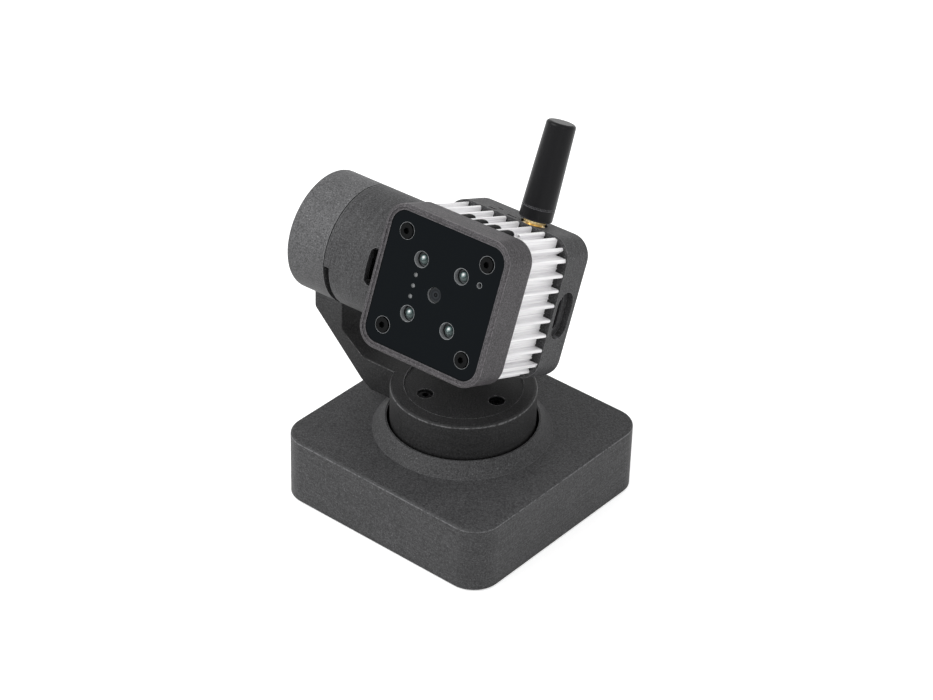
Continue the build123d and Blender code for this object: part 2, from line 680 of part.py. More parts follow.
def front_cover():
    inner = HEAD_HALF - COVER_WALL
    ledge = inner - LEDGE_WIDTH
    cover = square(HEAD_HALF, HEAD_CORNER, 0, COVER_DEPTH)
    cover = fillet(cover.faces().sort_by(Axis.Z)[-1].edges(), COVER_EDGE)
    step = HEAD_HALF - LIP_WIDTH
    cover -= square(step, HEAD_CORNER - LIP_WIDTH, 0, LIP_DEPTH)
    cover -= square(inner, HEAD_CORNER - COVER_WALL, 0, PANEL_BACK)
    cover -= square(ledge, HEAD_CORNER - COVER_WALL, 0, COVER_DEPTH)
    cover += at_corners(rod(POST_R, -COVER_DEPTH, -PANEL_BACK))
    return cover - at_corners(rod(SCREW_R + SCREW_SHANK_GAP, -COVER_DEPTH, 0))


def finger_comb():
    # Fingers with round ends, rooted in the back edge of the front cover
    width = FIN_PITCH - FIN_THICK - 2 * FINGER_GAP
    low, high = SINK_HALF + RIDGE_HEIGHT + FINGER_GAP, HEAD_HALF - FINGER_LOW
    flat_length = FINGER_LENGTH - width / 2
    outline = Pos(0, COVER_DEPTH + flat_length / 2) * Rectangle(width, flat_length)
    outline += Pos(0, COVER_DEPTH + flat_length) * Circle(width / 2)
    flat = Plane(origin=(0, low, 0), x_dir=(1, 0, 0), z_dir=(0, 1, 0)).location
    finger = flat * extrude(outline, high - low)
    top = finger.faces().sort_by(Axis.Y)[-1]
    finger = fillet(top.edges().filter_by(lambda e: e.center().Z < -COVER_DEPTH - FIT_GAP), FINGER_EDGE)
    return joined([Pos(FIN_PITCH * n, 0, 0) * finger for n in FINGER_CHANNELS])


def front_panel():
    half = HEAD_HALF - COVER_WALL - PANEL_GAP
    panel = square(half, HEAD_CORNER - COVER_WALL - PANEL_GAP, PANEL_SUNK, PANEL_BACK)
    panel -= at_corners(rod(SCREW_HEAD_R + SCREW_HEAD_GAP, -PANEL_BACK, 0))
    panel -= [p * rod(LAMP_HOLE_R, -PANEL_BACK, 0) for p in corners(LAMP_X, LAMP_Y)]
    panel -= rod(LENS_HOLE_R, -PANEL_BACK, 0)
    panel -= [p * rod(LIGHT_HOLE_R, -PANEL_BACK, 0) for p in light_places()]
    return panel - Pos(SOUND_HOLE_X, SOUND_HOLE_Y, 0) * rod(SOUND_HOLE_R, -PANEL_BACK, 0)


def light_places():
    return [Pos(-LIGHT_X, LIGHT_PITCH * n + LIGHT_Y, 0) for n in (-1, 0, 1)]


def panel_screws():
    screw = cap_screw(COVER_DEPTH - PANEL_BACK + PANEL_SCREW_REACH)
    return joined(at_corners(Pos(0, 0, -PANEL_BACK) * screw))


def lamp_board():
    half = HEAD_HALF - COVER_WALL - LEDGE_WIDTH - BOARD_GAP
    low = LAMP_BOARD_DEPTH + LAMP_BOARD_THICK
    board = square(half, HEAD_CORNER - COVER_WALL, LAMP_BOARD_DEPTH, low)
    board -= at_corners(rod(POST_R + BOARD_GAP, -low, 0))
    return board - rod(BARREL_R + BARREL_GAP, -low, 0)


def board_spacers():
    # Short pillars that hold the lamp board off the heatsink
    pillar = rod(SPACER_R, -COVER_DEPTH, -LAMP_BOARD_DEPTH - LAMP_BOARD_THICK)
    return joined([p * pillar for p in ring(SPACER_PLACE, 4)])


def infrared_lamps():
    # Each package carries an open cup, in which the emitter lies
    lamp = turned(
        (0, -LAMP_BOARD_DEPTH), (LAMP_BODY_R, -LAMP_BOARD_DEPTH), (LAMP_BODY_R, -LAMP_TOP), (LAMP_CUP_R, -LAMP_TOP),
        (LAMP_CUP_FLOOR_R, -LAMP_TOP - LAMP_CUP_DEPTH), (0, -LAMP_TOP - LAMP_CUP_DEPTH),
    )
    return joined([p * lamp for p in corners(LAMP_X, LAMP_Y)])


def lamp_domes():
    dome = Pos(0, 0, -LAMP_TOP) * Sphere(LAMP_DOME_R) & rod(LAMP_DOME_R, -LAMP_TOP, -LAMP_TOP + LAMP_DOME_R)
    return joined([p * dome for p in corners(LAMP_X, LAMP_Y)])


def indicator_lights():
    pipe = rod(LIGHT_HOLE_R - LIGHT_GAP, -LAMP_BOARD_DEPTH, -PANEL_SUNK - LIGHT_SUNK)
    return joined([p * pipe for p in light_places()])


def lens_barrel():
    # The nose of the barrel stands in the panel's hole and holds the glass in front of the iris
    nose, glass_back = PANEL_SUNK + LENS_SUNK, PANEL_SUNK + LENS_SUNK + LENS_GLASS_THICK
    barrel = turned(
        (0, -LENS_MOUNT_DEPTH), (BARREL_R, -LENS_MOUNT_DEPTH), (BARREL_R, -LAMP_TOP),
        (LENS_HOLE_R - LIGHT_GAP, -LAMP_TOP), (LENS_HOLE_R - LIGHT_GAP, -nose), (LENS_R, -nose),
        (LENS_R, -glass_back), (LENS_IRIS_R, -glass_back),
        (LENS_IRIS_R, -glass_back - LENS_IRIS_DEPTH), (0, -glass_back - LENS_IRIS_DEPTH),
    )
    return barrel + square(LENS_MOUNT_SIDE / 2, 0.8, LENS_MOUNT_DEPTH, SENSOR_BOARD_DEPTH)


def lens_glass():
    nose = PANEL_SUNK + LENS_SUNK
    return rod(LENS_R - FIT_GAP, -nose - LENS_GLASS_THICK, -nose)


def sensor_board():
    back = SENSOR_BOARD_DEPTH + SENSOR_BOARD_THICK
    board = square(SENSOR_BOARD_SIDE / 2, 1.0, SENSOR_BOARD_DEPTH, back)
    return board - at_corners(rod(SINK_POST_R + BOARD_GAP, -back, -SENSOR_BOARD_DEPTH))


def sensor_thermal_pad():
    return square(PAD_SIDE / 2, 0.5, SENSOR_BOARD_DEPTH + SENSOR_BOARD_THICK, SINK_WEB_DEPTH)


def fin_offsets():
    middle = (FINS_PER_SIDE - 1) / 2
    return [FIN_PITCH * (n - middle) for n in range(FINS_PER_SIDE)]


def heatsink_section():
    # Round-tipped ribs on four sides, one more on each corner, and two fine ridges in each channel
    reach = FIN_HEIGHT + FIN_ROOT
    rib = SlotOverall(2 * reach, FIN_THICK, rotation=90)
    ridge = Pos(0, SINK_HALF) * Rectangle(RIDGE_WIDTH, 2 * RIDGE_HEIGHT)
    quarter = [Pos(x, FIN_TIP - reach) * rib for x in fin_offsets()]
    quarter += [Pos(x + FIN_PITCH / 2 + side * RIDGE_PLACE, 0) * ridge
                for x in fin_offsets()[:-1] for side in (-1, 1)]
    corner_tip = FIN_TIP - FIN_CORNER
    quarter.append(Pos(corner_tip, corner_tip) * Rot(0, 0, -45) * Pos(0, FIN_CORNER - reach) * rib)
    outline = RectangleRounded(2 * FIN_TIP, 2 * FIN_TIP, FIN_CORNER)
    core = RectangleRounded(2 * SINK_HALF, 2 * SINK_HALF, FIN_CORNER - FIN_HEIGHT)
    return core + (joined([Rot(0, 0, 90 * q) * shape for q in range(4) for shape in quarter]) & outline)


def pin_boss(solid):
    # The second top rib from the right is cut back at the front and ends in a round boss with a pin hole
    x, start = fin_offsets()[-2], COVER_DEPTH + PIN_SET_BACK
    solid -= block(x - FIN_PITCH / 2 + FIN_THICK / 2, x + FIN_PITCH / 2 - FIN_THICK / 2,
                   SINK_HALF + RIDGE_HEIGHT, HEAD_HALF, -start, -COVER_DEPTH)
    centre = Pos(x, FIN_TIP - PIN_BOSS_R, 0)
    solid += centre * rod(PIN_BOSS_R, -SINK_BACK, -start)
    return solid - centre * rod(PIN_HOLE_R, -start - PIN_HOLE_DEPTH, -start)


def heatsink():
    sink = Pos(0, 0, -SINK_BACK) * extrude(heatsink_section(), SINK_LENGTH)
    keep = joined(at_corners(rod(SINK_POST_R, -SINK_BACK, -COVER_DEPTH)))
    bore = square(SINK_BORE / 2, SINK_BORE_CORNER, COVER_DEPTH, SINK_WEB_DEPTH)
    bore += square(SINK_BORE / 2, SINK_BORE_CORNER, SINK_WEB_DEPTH + SINK_WEB, SINK_BACK)
    sink -= bore - keep
    sink = pin_boss(sink)
    sink -= at_corners(rod(SCREW_R + SCREW_SHANK_GAP, -SINK_BACK, -COVER_DEPTH))
    to_front = FRONT.inverse() * HEAD_AXLE
    return sink - [to_front * p * screw_cut(HEAD_SCREW_LENGTH, 0.1) for p in head_screw_places()]


PAD_DEPTH = SINK_WEB_DEPTH + SINK_WEB
CHIP_DEPTH = PAD_DEPTH + PAD_THICK
MAIN_BOARD_DEPTH = CHIP_DEPTH + CHIP_THICK


def processor_thermal_pad():
    return square(PAD_SIDE / 2, 0.5, PAD_DEPTH, CHIP_DEPTH)


def processor_chip():
    return square(CHIP_SIDE / 2, 0.4, CHIP_DEPTH, MAIN_BOARD_DEPTH)


def main_board():
    back = MAIN_BOARD_DEPTH + MAIN_BOARD_THICK
    board = square(MAIN_BOARD_SIDE / 2, 1.0, MAIN_BOARD_DEPTH, back)
    return board - at_corners(rod(SINK_POST_R + BOARD_GAP, -back, -MAIN_BOARD_DEPTH))


# Rear cover and what it carries
REAR_SCREW_SEAT = HEAD_DEPTH - SCREW_HEAD - REAR_SCREW_SUNK
REAR_SCREW_LENGTH = REAR_SCREW_SEAT - SINK_BACK + REAR_SCREW_REACH
REAR_POST_R = SCREW_HEAD_R + REAR_POST_WALL


def rear_screw_places():
    return at_corners(Pos(0, 0, -REAR_SCREW_SEAT) * DOWN)


def port_location(x):
    # Local Z runs out of the right side, local X is up
    return Plane(origin=(x, PORT_Y, -PORT_DEPTH), x_dir=(0, 1, 0), z_dir=(1, 0, 0)).location


def rear_cover():
    cover = square(HEAD_HALF, HEAD_CORNER, SINK_BACK, HEAD_DEPTH)
    cover = fillet(cover.faces().sort_by(Axis.Z)[0].edges(), REAR_EDGE)
    inner = HEAD_HALF - REAR_WALL
    hollow = square(inner, HEAD_CORNER - REAR_WALL, SINK_BACK, REAR_BACK_DEPTH)
    hollow -= at_corners(rod(REAR_POST_R, -REAR_BACK_DEPTH, -SINK_BACK))
    low, high = PORT_Y - SOCKET_PAD_LONG / 2, PORT_Y + SOCKET_PAD_LONG / 2
    hollow -= block(inner - SOCKET_PAD, inner, low, high, -REAR_BACK_DEPTH, -SINK_BACK)
    cover -= hollow
    cover -= [place * screw_cut(REAR_SCREW_LENGTH, SCREW_HEAD + 1) for place in rear_screw_places()]
    recess = port_location(HEAD_HALF - PORT_SUNK) * extrude(SlotOverall(PORT_LONG, PORT_WIDE), PORT_SUNK)
    mouth = SlotOverall(SOCKET_LONG + 2 * SOCKET_GAP, SOCKET_WIDE + 2 * SOCKET_GAP)
    cover -= [recess, port_location(inner - SOCKET_PAD - 1) * extrude(mouth, REAR_WALL + SOCKET_PAD + 1)]
    cover -= antenna_location() * rod(CONNECTOR_R + CONNECTOR_ROOM, -REAR_WALL - 1, 1)
    return cover - top_slots()


def top_slots():
    down = Plane(origin=(0, HEAD_HALF, -SINK_BACK), x_dir=(1, 0, 0), z_dir=(0, 1, 0)).location
    return [down * Pos(x, behind, -REAR_WALL - 1) * extrude(SlotOverall(length, width), REAR_WALL + 2)
            for x, behind, length, width in TOP_SLOTS]


def rear_screws():
    return joined([place * cap_screw(REAR_SCREW_LENGTH) for place in rear_screw_places()])


def side_socket():
    return port_location(HEAD_HALF - PORT_SUNK) * socket_shell()


BACK_BOARD_RIGHT = HEAD_HALF - REAR_WALL - SOCKET_PAD - BACK_BOARD_GAP
BACK_BOARD_LOW = BACK_BOARD_DEPTH + BACK_BOARD_THICK


def interface_board():
    half = BACK_BOARD_HEIGHT / 2
    board = block(BACK_BOARD_RIGHT - BACK_BOARD_WIDTH, BACK_BOARD_RIGHT, -half, half,
                  -BACK_BOARD_LOW, -BACK_BOARD_DEPTH)
    return board - at_corners(rod(REAR_POST_R + BACK_BOARD_GAP, -BACK_BOARD_LOW, -BACK_BOARD_DEPTH))


def board_pillars():
    pillar = rod(PILLAR_R, -REAR_BACK_DEPTH, -BACK_BOARD_LOW)
    left = REAR_POST_R + PILLAR_POST_GAP + PILLAR_R - PANEL_SCREW_PLACE
    high = BACK_BOARD_HEIGHT / 2 - PILLAR_INSET_Y
    right = BACK_BOARD_RIGHT - PILLAR_INSET_X
    return joined([Pos(x, y, 0) * pillar for x in (left, right) for y in (-high, high)])


def antenna_location():
    # Local Z runs up out of the top of the rear cover
    return Plane(origin=(ANTENNA_X, HEAD_HALF, -ANTENNA_DEPTH), x_dir=(1, 0, 0), z_dir=(0, 1, 0)).location


def antenna_connector():
    # A hex nut in the cover's pocket, a neck, and the rim that the antenna screws down on
    nut = extrude(RegularPolygon(CONNECTOR_HEX / 2, 6, major_radius=False), CONNECTOR_HEX_THICK)
    nut = Pos(0, 0, CONNECTOR_HEX_TOP - CONNECTOR_HEX_THICK) * nut
    rim = rod(CONNECTOR_R, CONNECTOR_RISE - CONNECTOR_RIM, CONNECTOR_RISE)
    return antenna_location() * (rod(CONNECTOR_NECK_R, -CONNECTOR_INSIDE, CONNECTOR_RISE) + nut + rim)


def antenna_collar():
    low, high = CONNECTOR_RISE, CONNECTOR_RISE + ANTENNA_COLLAR
    collar = rod(ANTENNA_BASE_R, low, high)
    return antenna_location() * chamfer(collar.faces().sort_by(Axis.Z)[0].edges(), ANTENNA_EDGE)


def antenna_sleeve():
    low, high = CONNECTOR_RISE + ANTENNA_COLLAR, CONNECTOR_RISE + ANTENNA_LENGTH
    neck = ANTENNA_BASE_R - ANTENNA_GROOVE
    body = turned(
        (0, low), (neck, low), (neck, low + ANTENNA_GROOVE), (ANTENNA_BASE_R, low + ANTENNA_GROOVE),
        (ANTENNA_TIP_R, high), (0, high),
    )
    return antenna_location() * fillet(body.faces().sort_by(Axis.Z)[-1].edges(), ANTENNA_TIP_ROUND)


def on_axle(solid):
    return PAN_AXLE * solid


# Every node of the part, with the frame that it is written in
NODES = {
    "base_housing": base_housing,
    "base_bottom_plate": base_bottom_plate,
    "rubber_sole": rubber_sole,
    "base_screws": base_screws,
    "base_circuit_board": base_circuit_board,
    "base_board_screws": base_board_screws,
    "motor_driver_chips": motor_driver_chips,
    "base_power_socket": base_power_socket,
    "pan_motor_stator": lambda: PAN_MOTOR * motor_stator(),
    "pan_motor_windings": lambda: PAN_MOTOR * motor_windings(),
    "pan_motor_bearings": lambda: PAN_MOTOR * motor_bearings(),
    "pan_motor_screws": pan_motor_screws,
    "pan_bracket": lambda: PAN * pan_bracket(),
    "pan_motor_rotor": lambda: PAN * PAN_MOTOR * motor_rotor(DRUM_SCREW_CIRCLE, 3),
    "pan_motor_magnets": lambda: PAN * PAN_MOTOR * motor_magnets(),
    "drum_screws": lambda: PAN * drum_screws(),
    "tilt_motor_stator": lambda: on_axle(TILT_MOTOR * motor_stator()),
    "tilt_motor_windings": lambda: on_axle(TILT_MOTOR * motor_windings()),
    "tilt_motor_bearings": lambda: on_axle(TILT_MOTOR * motor_bearings()),
    "tilt_motor_screws": lambda: on_axle(tilt_motor_screws()),
    "tilt_drum": tilt_drum,
    "tilt_motor_rotor": lambda: HEAD_AXLE * TILT_MOTOR * motor_rotor(ROTOR_SCREW_CIRCLE, 4),
    "tilt_motor_magnets": lambda: HEAD_AXLE * TILT_MOTOR * motor_magnets(),
    "rotor_screws": rotor_screws,
    "head_mount_screws": head_mount_screws,
    "front_cover": lambda: FRONT * front_cover(),
    "finger_comb": lambda: FRONT * finger_comb(),
    "front_panel": lambda: FRONT * front_panel(),
    "panel_screws": lambda: FRONT * panel_screws(),
    "infrared_lamps": lambda: FRONT * infrared_lamps(),
    "lamp_domes": lambda: FRONT * lamp_domes(),
    "indicator_lights": lambda: FRONT * indicator_lights(),
    "lamp_board": lambda: FRONT * lamp_board(),
    "lamp_board_spacers": lambda: FRONT * board_spacers(),
    "lens_barrel": lambda: FRONT * lens_barrel(),
    "lens_glass": lambda: FRONT * lens_glass(),
    "sensor_board": lambda: FRONT * sensor_board(),
    "sensor_thermal_pad": lambda: FRONT * sensor_thermal_pad(),
    "heatsink": lambda: FRONT * heatsink(),
    "processor_thermal_pad": lambda: FRONT * processor_thermal_pad(),
    "processor_chip": lambda: FRONT * processor_chip(),
    "main_board": lambda: FRONT * main_board(),
    "rear_cover": lambda: FRONT * rear_cover(),
    "rear_screws": lambda: FRONT * rear_screws(),
    "side_socket": lambda: FRONT * side_socket(),
    "interface_board": lambda: FRONT * interface_board(),
    "interface_board_pillars": lambda: FRONT * board_pillars(),
    "antenna_connector": lambda: FRONT * antenna_connector(),
    "antenna_collar": lambda: FRONT * antenna_collar(),
    "antenna_sleeve": lambda: FRONT * antenna_sleeve(),
}


def main():
    os.makedirs("parts", exist_ok=True)
    for node, make in NODES.items():
        export_step(make(), f"parts/{node}.step")


main()
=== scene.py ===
import math

import bmesh
import bpy
import numpy as np
from bpy.props import FloatProperty, FloatVectorProperty, PointerProperty
from mathutils import Matrix, Vector


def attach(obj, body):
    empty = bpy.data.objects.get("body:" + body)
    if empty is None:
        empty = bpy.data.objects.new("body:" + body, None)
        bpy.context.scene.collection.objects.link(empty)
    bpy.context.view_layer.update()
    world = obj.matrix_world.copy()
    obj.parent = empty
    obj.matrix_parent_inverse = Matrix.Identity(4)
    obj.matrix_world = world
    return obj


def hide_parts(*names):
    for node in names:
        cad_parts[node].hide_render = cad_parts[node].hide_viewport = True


bl_info = {
    "name": "Pan-tilt camera",
    "version": (1, 0, 0),
    "blender": (4, 5, 0),
    "location": "3D View > Sidebar > Camera",
    "description": "Dresses a small pan-tilt camera and sets its studio",
    "category": "Add Mesh",
}

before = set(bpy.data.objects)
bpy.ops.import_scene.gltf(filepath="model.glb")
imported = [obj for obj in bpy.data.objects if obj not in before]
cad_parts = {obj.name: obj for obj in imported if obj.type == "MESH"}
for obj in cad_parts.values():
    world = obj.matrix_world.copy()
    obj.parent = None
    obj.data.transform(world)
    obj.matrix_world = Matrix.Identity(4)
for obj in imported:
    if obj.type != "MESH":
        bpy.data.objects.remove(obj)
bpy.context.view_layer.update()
MM = 0.001

# Frames of the moving bodies at rest, in metres; the front frame has X right, Y up, Z out of the face
PAN_REST = math.radians(2.4)
TILT_REST = math.radians(22.2)
TILT_AXIS_Z = 0.0645
FACE_X, FACE_AHEAD = 0.00145, 0.0177
GLASS_DEPTH = 0.0013
ANTENNA_AT = (0.00475, 0.020, -0.032)
PAN = Matrix.Rotation(PAN_REST, 4, "Z")
HEAD = PAN @ Matrix.Translation((0, 0, TILT_AXIS_Z)) @ Matrix.Rotation(-TILT_REST, 4, "X")
FRONT = HEAD @ Matrix.Translation((FACE_X, -FACE_AHEAD, 0)) @ Matrix.Rotation(math.pi / 2, 4, "X")
ANTENNA = FRONT @ Matrix.Translation(ANTENNA_AT) @ Matrix.Rotation(-math.pi / 2, 4, "X")
FORWARD = FRONT.to_3x3() @ Vector((0, 0, 1))
ACROSS = FRONT.to_3x3() @ Vector((1, 0, 0))


# Colours
def linear(code):
    """sRGB hex to linear RGB: c / 12.92 below 0.04045, else ((c + 0.055) / 1.055) ^ 2.4."""
    c = np.array([int(code[i:i + 2], 16) / 255 for i in (0, 2, 4)])
    return tuple(float(v) for v in np.where(c <= 0.04045, c / 12.92, ((c + 0.055) / 1.055) ** 2.4))


def rgba(colour):
    """The colour with full alpha."""
    return (*colour, 1.0)


def scaled(colour, factor):
    """The colour made lighter or darker, no part of it over 1."""
    return tuple(min(1.0, c * factor) for c in colour)


class CameraFinishes(bpy.types.PropertyGroup):
    """Colours and grain sizes of the camera's own finishes"""

    # One dyed nylon in five tones, partly painted light and shade: the base darkest and the arm and cup lightest,
    # for how much light each gets
    base_nylon: FloatVectorProperty(name="Base nylon", description="Dyed colour of the base", subtype="COLOR",
                                    default=linear("3b3b3c"), min=0, max=1)
    arm_nylon: FloatVectorProperty(name="Arm nylon", description="Dyed colour of the arm and the motor cup",
                                   subtype="COLOR", default=linear("4d4d4e"), min=0, max=1)
    drum_nylon: FloatVectorProperty(name="Drum nylon", description="Dyed colour of the turning drum",
                                    subtype="COLOR", default=linear("3f3f40"), min=0, max=1)
    cover_nylon: FloatVectorProperty(name="Cover nylon", description="Dyed colour of the front cover",
                                     subtype="COLOR", default=linear("464446"), min=0, max=1)
    rear_nylon: FloatVectorProperty(name="Rear nylon", description="Dyed colour of the rear cover",
                                    subtype="COLOR", default=linear("414142"), min=0, max=1)
    comb: FloatVectorProperty(name="Comb", description="Colour of the black fingers between the fins",
                              subtype="COLOR", default=linear("1b1b1c"), min=0, max=1)
    panel: FloatVectorProperty(name="Front panel", description="Colour of the glossy front panel",
                               subtype="COLOR", default=linear("0b0f12"), min=0, max=1)
    fins: FloatVectorProperty(name="Fins", description="Colour of the satin aluminium fins", subtype="COLOR",
                              default=linear("fbf9fc"), min=0, max=1)
    antenna: FloatVectorProperty(name="Antenna", description="Colour of the antenna's moulded shell",
                                 subtype="COLOR", default=linear("131315"), min=0, max=1)
    grain: FloatProperty(name="Grain", description="Size of the printed nylon's grains in millimetres",
                         default=0.42, min=0.05, max=2.0)
    layer: FloatProperty(name="Layer", description="Height of the print layers in millimetres, drawn coarse",
                         default=0.45, min=0.05, max=2.0)


class CameraStudio(bpy.types.PropertyGroup):
    """Camera and lamps of the studio"""

    azimuth: FloatProperty(name="Azimuth", description="Direction that the camera stands in", subtype="ANGLE",
                           default=math.radians(39.189))
    elevation: FloatProperty(name="Elevation", description="Height angle of the camera", subtype="ANGLE",
                             default=math.radians(33.851))
    roll: FloatProperty(name="Roll", description="Turn of the camera about its view line", subtype="ANGLE",
                        default=math.radians(1.675))
    distance: FloatProperty(name="Distance", description="From the camera to the part's origin",
                            subtype="DISTANCE", unit="LENGTH", default=0.78493)
    side: FloatProperty(name="Side", description="Camera's sideways place", unit="LENGTH", default=0.00156)
    rise: FloatProperty(name="Rise", description="Camera's upward place", unit="LENGTH", default=0.03743)
    focal: FloatProperty(name="Focal length", description="Focal length in millimetres on a 36 mm wide sensor",
                         default=109.436, min=10)
    key: FloatProperty(name="Key lamp", description="Power of the soft lamp above, in watts", default=8.5, min=0)
    fill: FloatProperty(name="Fill lamp", description="Power of the soft lamp at the right, in watts",
                        default=1.7, min=0)
    ambient: FloatProperty(name="Ambient", description="Strength of the white room round the camera",
                           default=0.85, min=0)


# Nodes
TIMES = {"data_type": "RGBA", "blend_type": "MULTIPLY"}


def add(tree, kind, inputs=(), out=0, stops=(), **settings):
    """Adds one node with its settings and colour stops, and gives one of its outputs. The inputs come by name or
    in order: a socket is linked, any other value is set."""
    node = tree.nodes.new("ShaderNode" + kind)
    for name, value in settings.items():
        setattr(node, name, value)
    for name, value in inputs.items() if isinstance(inputs, dict) else enumerate(inputs):
        if isinstance(value, bpy.types.NodeSocket):
            tree.links.new(value, node.inputs[name])
        else:
            node.inputs[name].default_value = value
    if stops:
        bar = node.color_ramp.elements
        bar.remove(bar[1])
        bar[0].position, bar[0].color = stops[0][0], rgba(stops[0][1])
        for position, colour in stops[1:]:
            bar.new(position).color = rgba(colour)
    return node.outputs[out] if len(node.outputs) else node


def empty_tree(block):
    """The block's node tree, switched on and cleared."""
    block.use_nodes = True
    block.node_tree.nodes.clear()
    return block.node_tree


def new_material(name, shader):
    """A material with one Principled BSDF whose own sockets hold the plain values."""
    material = bpy.data.materials.new(name)
    tree = empty_tree(material)
    surface = add(tree, "BsdfPrincipled", shader)
    add(tree, "OutputMaterial", {"Surface": surface})
    return material, tree, surface.node, add(tree, "TexCoord", out="Object")


def blobs(place, size_mm, detail=3.0):
    """Inputs of a noise whose blobs are size_mm across, on Object coordinates in metres."""
    return {"Vector": place, "Scale": 1 / (size_mm * MM), "Detail": detail, "Roughness": 0.55}


def squeezed(place, axis, across, along):
    """Inputs of a texture mapping that turns the axis to Z and shrinks the place across and along it."""
    turn = Vector((0, 0, 1)).rotation_difference(Vector(axis)).to_euler()
    return {"Vector": place, "Rotation": turn, "Scale": (across, across, along)}


def facing(tree, axis):
    """How far the surface faces along an axis or against it: 1 square on, 0 edge on."""
    normal = add(tree, "TexCoord", out="Normal")
    level = add(tree, "VectorMath", (normal, axis), "Value", operation="DOT_PRODUCT")
    return add(tree, "Math", (level,), operation="ABSOLUTE")


def seen_rays(tree):
    """1 for the rays that show the background: camera, glossy and transmission rays."""
    path = add(tree, "LightPath").node.outputs
    pair = add(tree, "Math", (path["Is Camera Ray"], path["Is Glossy Ray"]), operation="MAXIMUM")
    return add(tree, "Math", (pair, path["Is Transmission Ray"]), operation="MAXIMUM")


# Printed nylon: sizes of what its powder shows, in millimetres, with the reach of the painted shade in recesses
# and the radius of the edges lightened by wear and by a painted highlight, and tones against the dyed colour
CLOUD_SIZE, SPECK_SIZE, PATCH_SIZE, LAYER_STRETCH = 9.0, 0.35, 0.8, 40.0
RECESS_REACH, WORN_LIT_RADIUS = 4.0, 0.4
GRAIN_TONES, CLOUD_TONE, RECESS_SHADE_TONE, SPECK_TONE, WORN_HIGHLIGHT_TONE = (0.5, 1.6), 0.84, 0.3, 3.2, 3.6
GRAIN_DEPTH, LAYER_DEPTH = 0.08, 0.1
# Heights in metres over which the bracket's colour runs from painted shade at the pan drum, under the head, to
# painted light on the cup, with its tones there, and the rim of the pan drum
PAINTED_SHADE_HEIGHTS, PAINTED_SHADE_TONES = (0.036, 0.074), (0.24, 1.25)
RIM_HEIGHT, RIM_HIGHLIGHT = 0.040, 0.45
# How far the lines of a brushed metal are drawn out, and their tones
BRUSH_STRETCH, BRUSH_TONES = 50.0, (0.84, 1.1)


def layers(tree, place, axis, layer_mm):
    """Print layers from -1 to 1: noise squeezed flat along the print direction, which fades on faces that lie
    flat."""
    flat = add(tree, "Mapping", squeezed(place, axis, LAYER_STRETCH, 1.0), vector_type="TEXTURE")
    lines = add(tree, "TexNoise", blobs(flat, layer_mm, 1.0))
    level = add(tree, "MapRange", (lines, 0.35, 0.65, -1.0))
    upright = add(tree, "MapRange", (facing(tree, axis), 0.9, 0.3))
    return add(tree, "Math", (level, upright), operation="MULTIPLY")


def rounded_edges(tree, axis):
    """A thin strip of painted highlight, up to 0.9, where a rounded edge runs out into the wall below it: its lean
    is 0.1 to 0.6.
    """
    level = facing(tree, axis)
    steep = add(tree, "MapRange", (level, 0.08, 0.2, 0.0, 0.9))
    flat = add(tree, "MapRange", (level, 0.6, 0.4))
    return add(tree, "Math", (steep, flat), operation="MULTIPLY")


def edge_mask(tree, radius_mm):
    """Up to 0.85 on sharp edges, where the rounded normal leans away from the true one: the dot product of the
    two falls from 0.98 to 0.75."""
    soft = add(tree, "Bevel", {"Radius": radius_mm * MM}, samples=4)
    true = add(tree, "NewGeometry", out="True Normal")
    level = add(tree, "VectorMath", (soft, true), "Value", operation="DOT_PRODUCT")
    return add(tree, "MapRange", (level, 0.98, 0.75, 0.0, 0.85))


